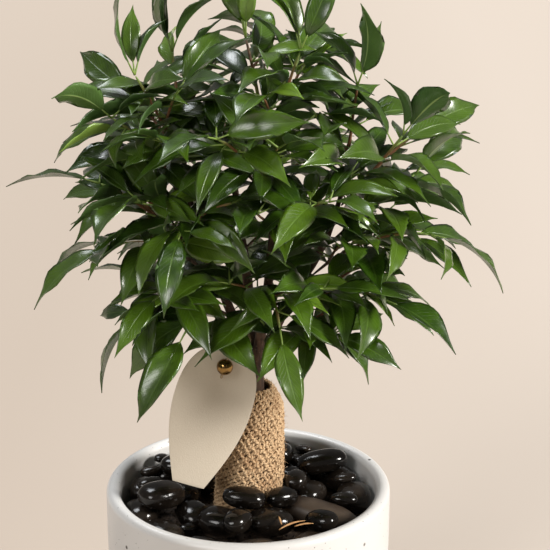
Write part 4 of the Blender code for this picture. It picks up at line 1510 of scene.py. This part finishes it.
def make_tag():
    """A fine grid over the outline, with the hole left open, thickened and bevelled."""
    shape = bmesh.new()
    rows, columns = 90, 40
    shares = [math.sin(math.pi / 2 * k / rows) for k in range(rows)] + [0.99998]
    grid = []
    for share in shares:
        half = max(half_width(share), 0.0003)
        z = TAG_LENGTH * share - HOLE_FROM_FOOT
        grid.append([shape.verts.new((half * (2 * c / columns - 1), 0, z)) for c in range(columns + 1)])
    for low, high in zip(grid, grid[1:]):
        for c in range(columns):
            shape.faces.new((low[c], low[c + 1], high[c + 1], high[c]))
    edge = HOLE_RADIUS * 1.8
    for vert in shape.verts:
        away = math.hypot(vert.co.x, vert.co.z)
        if 1e-6 < away < edge:
            push = HOLE_RADIUS + (away / edge) * (HOLE_RADIUS * 0.8)
            vert.co.x *= push / away
            vert.co.z *= push / away
    centres = [(face, face.calc_center_median()) for face in shape.faces]
    middle = [face for face, centre in centres if math.hypot(centre.x, centre.z) < HOLE_RADIUS]
    bmesh.ops.delete(shape, geom=middle, context="FACES")
    inner = [v for v in shape.verts if math.hypot(v.co.x, v.co.z) < HOLE_RADIUS * 0.999]
    bmesh.ops.delete(shape, geom=inner, context="VERTS")
    for vert in shape.verts:
        vert.co.y = TAG_BOW * (2 * vert.co.x / TAG_WIDTH) ** 2
    tag = from_bmesh("paper_tag", shape, finish("cream_card", paint_card))
    tag.data.transform(TAG_PLACE)
    wall = tag.modifiers.new("wall", "SOLIDIFY")
    wall.thickness = TAG_THICKNESS
    wall.offset = 0
    edge = tag.modifiers.new("edge", "BEVEL")
    edge.width = 0.00018
    edge.segments = 2
    edge.limit_method = "ANGLE"
    flattened(tag)
    place_piece(tag, "card", "gift_tag")


make_tag()

# %% [markdown]
# The bead is a ball of polished brass with a bore, turned on the lathe like the pot and hung before the tag.

# %% Bead
BEAD_RADIUS = 0.0051
BEAD_BORE = 0.0013
BEAD_PLACE = TAG_PLACE @ Matrix.Translation((0, -(BEAD_RADIUS + 0.0010), BEAD_RADIUS * 0.2))


def paint_brass(board):
    spot = board.place()
    tarnish = board.noise(spot, 420, 4).ramp(0.45, 0.75)
    colour = board.mix(tarnish, (0.30, 0.18, 0.060), (0.13, 0.072, 0.028))
    return colour, tarnish * 0.22 + 0.12, board.noise(spot, 900, 2), 0.00004, {"Metallic": 1.0}


def make_bead():
    start = math.asin(BEAD_BORE / BEAD_RADIUS)
    turns = [-math.pi / 2 + start + (math.pi - 2 * start) * k / 30 for k in range(31)]
    profile = [(BEAD_RADIUS * math.cos(a), BEAD_RADIUS * math.sin(a)) for a in turns]
    profile.append(profile[0])
    points, faces = lathe(profile, 48)
    bead = add_mesh("brass_ball", points, faces, finish("polished_brass", paint_brass))
    shape = sewn(bead.data, 1e-7)
    shape.to_mesh(bead.data)
    shape.free()
    bead.data.transform(BEAD_PLACE)
    place_piece(bead, "brass", "brass_bead")


make_bead()

# %% [markdown]
# The twine is a closed loop that goes round the left leader, through the bead and through the hole. Its
# middle line repeats the solid loop's own points.

# %% Twine path
CROTCH = Vector((-0.00623, -0.00314, 0.26492))
LEADER_RADIUS = 0.0040
TWINE_RADIUS = 0.0006
TWINE_GAP = 0.0008
ROUND_LEADER = LEADER_RADIUS + TWINE_RADIUS + TWINE_GAP


def twine_places():
    """The loop's own points: round the leader, through the bead and the hole, and back up."""
    top = TAG_LENGTH - HOLE_FROM_FOOT
    return [
        CROTCH + Vector((0.0012, ROUND_LEADER, 0.0012)),
        CROTCH + Vector((-ROUND_LEADER, 0.0008, -0.0012)),
        CROTCH + Vector((-ROUND_LEADER * 0.9, -0.012, -0.001)),
        TAG_PLACE @ Vector((-0.0030, 0.0045, top + 0.0026)),
        TAG_PLACE @ Vector((-0.0012, -0.0040, top + 0.0012)),
        BEAD_PLACE @ Vector((0, 0, BEAD_RADIUS + 0.0022)),
        BEAD_PLACE @ Vector((0, 0, BEAD_RADIUS * 0.5)),
        BEAD_PLACE @ Vector((0, 0, -BEAD_RADIUS * 0.5)),
        BEAD_PLACE @ Vector((0, 0.0002, -BEAD_RADIUS - 0.0008)),
        BEAD_PLACE @ Vector((0, 0.0024, -BEAD_RADIUS - 0.0024)),
        TAG_PLACE @ Vector((0, -0.0019, -0.0042)),
        TAG_PLACE @ Vector((0, -0.0010, -0.0010)),
        TAG_PLACE @ Vector((0, 0.0010, 0.0004)),
        TAG_PLACE @ Vector((0.0004, 0.0060, 0.0034)),
        CROTCH + Vector((ROUND_LEADER * 1.3, -0.016, -0.004)),
        CROTCH + Vector((ROUND_LEADER * 1.15, -0.003, 0.0006)),
    ]


def closed_curve(places, steps):
    """A Catmull-Rom curve through the places and back to the first."""
    path = []
    count = len(places)
    for k in range(count):
        a, b, c, d = (places[(k + shift) % count] for shift in (-1, 0, 1, 2))
        for step in range(steps):
            t = step / steps
            path.append(0.5 * (2 * b + (c - a) * t + (2 * a - 5 * b + 4 * c - d) * t**2
                               + (3 * b - a - 3 * c + d) * t**3))
    return path


print(len(twine_places()), "places on the twine's loop")

# %% [markdown]
# Two thin plies are wound round that line by Geometry Nodes, half a turn apart. A whole number of turns lets
# the loop close.

# %% Twine
TWINE_PITCH = 0.0036


def paint_twine(board):
    run = board.attribute("run")
    fibre = board.noise(board.place(), 2600, 3)
    band = (run * 5200).sine()
    straw = board.mix(fibre, (0.30, 0.21, 0.12), (0.58, 0.46, 0.31))
    colour = board.mix(band.ramp(0.2, 1.0) * 0.4, straw, (0.20, 0.13, 0.07))
    return colour, 0.85, fibre + band * 0.4, 0.0002, {}


def twine_tree():
    tree, board, given = new_tree("Two plies", {
        "Turns": "count", "Ply Radius": "size", "Spread": "size", "Finish": "finish"})
    line = board.node("GeometryNodeMeshToCurve", {}, {0: given["Geometry"]})
    share = board.node("GeometryNodeSplineParameter", out="Factor")
    normal = board.node("GeometryNodeInputNormal")
    across = board.node("GeometryNodeInputTangent").cross(normal)
    ring = {"Resolution": 7, "Radius": given["Ply Radius"]}
    ring = board.node("GeometryNodeCurvePrimitiveCircle", {}, ring)
    plies = []
    for half in (0.0, math.pi):
        angle = share * given["Turns"] * (2 * math.pi) + half
        shift = normal * (angle.cosine() * given["Spread"]) + across * (angle.sine() * given["Spread"])
        ply = board.node("GeometryNodeSetPosition", {}, {"Geometry": line, "Offset": shift})
        ply = stored(board, ply, "run", board.node("GeometryNodeSplineParameter", out="Length"))
        plies.append(board.node("GeometryNodeCurveToMesh", {}, {"Curve": ply, "Profile Curve": ring}))
    both = board.node("GeometryNodeRealizeInstances", {}, {"Geometry": joined(board, plies)})
    end_tree(board, finished(board, both, given["Finish"]))
    return tree


def make_twine():
    path = closed_curve(twine_places(), 16)
    edges = [(k, (k + 1) % len(path)) for k in range(len(path))]
    length = sum((path[a] - path[b]).length for a, b in edges)
    twine = add_mesh("twine_loop", path, [], edges=edges)
    run_tree(twine, twine_tree(), Turns=round(length / TWINE_PITCH), Ply_Radius=0.00044, Spread=0.00036,
             Finish=finish("jute_twine", paint_twine))
    print("twine loop is", round(length, 4), "m long")
    place_piece(smooth(twine), "twine", "tag_string")


make_twine()
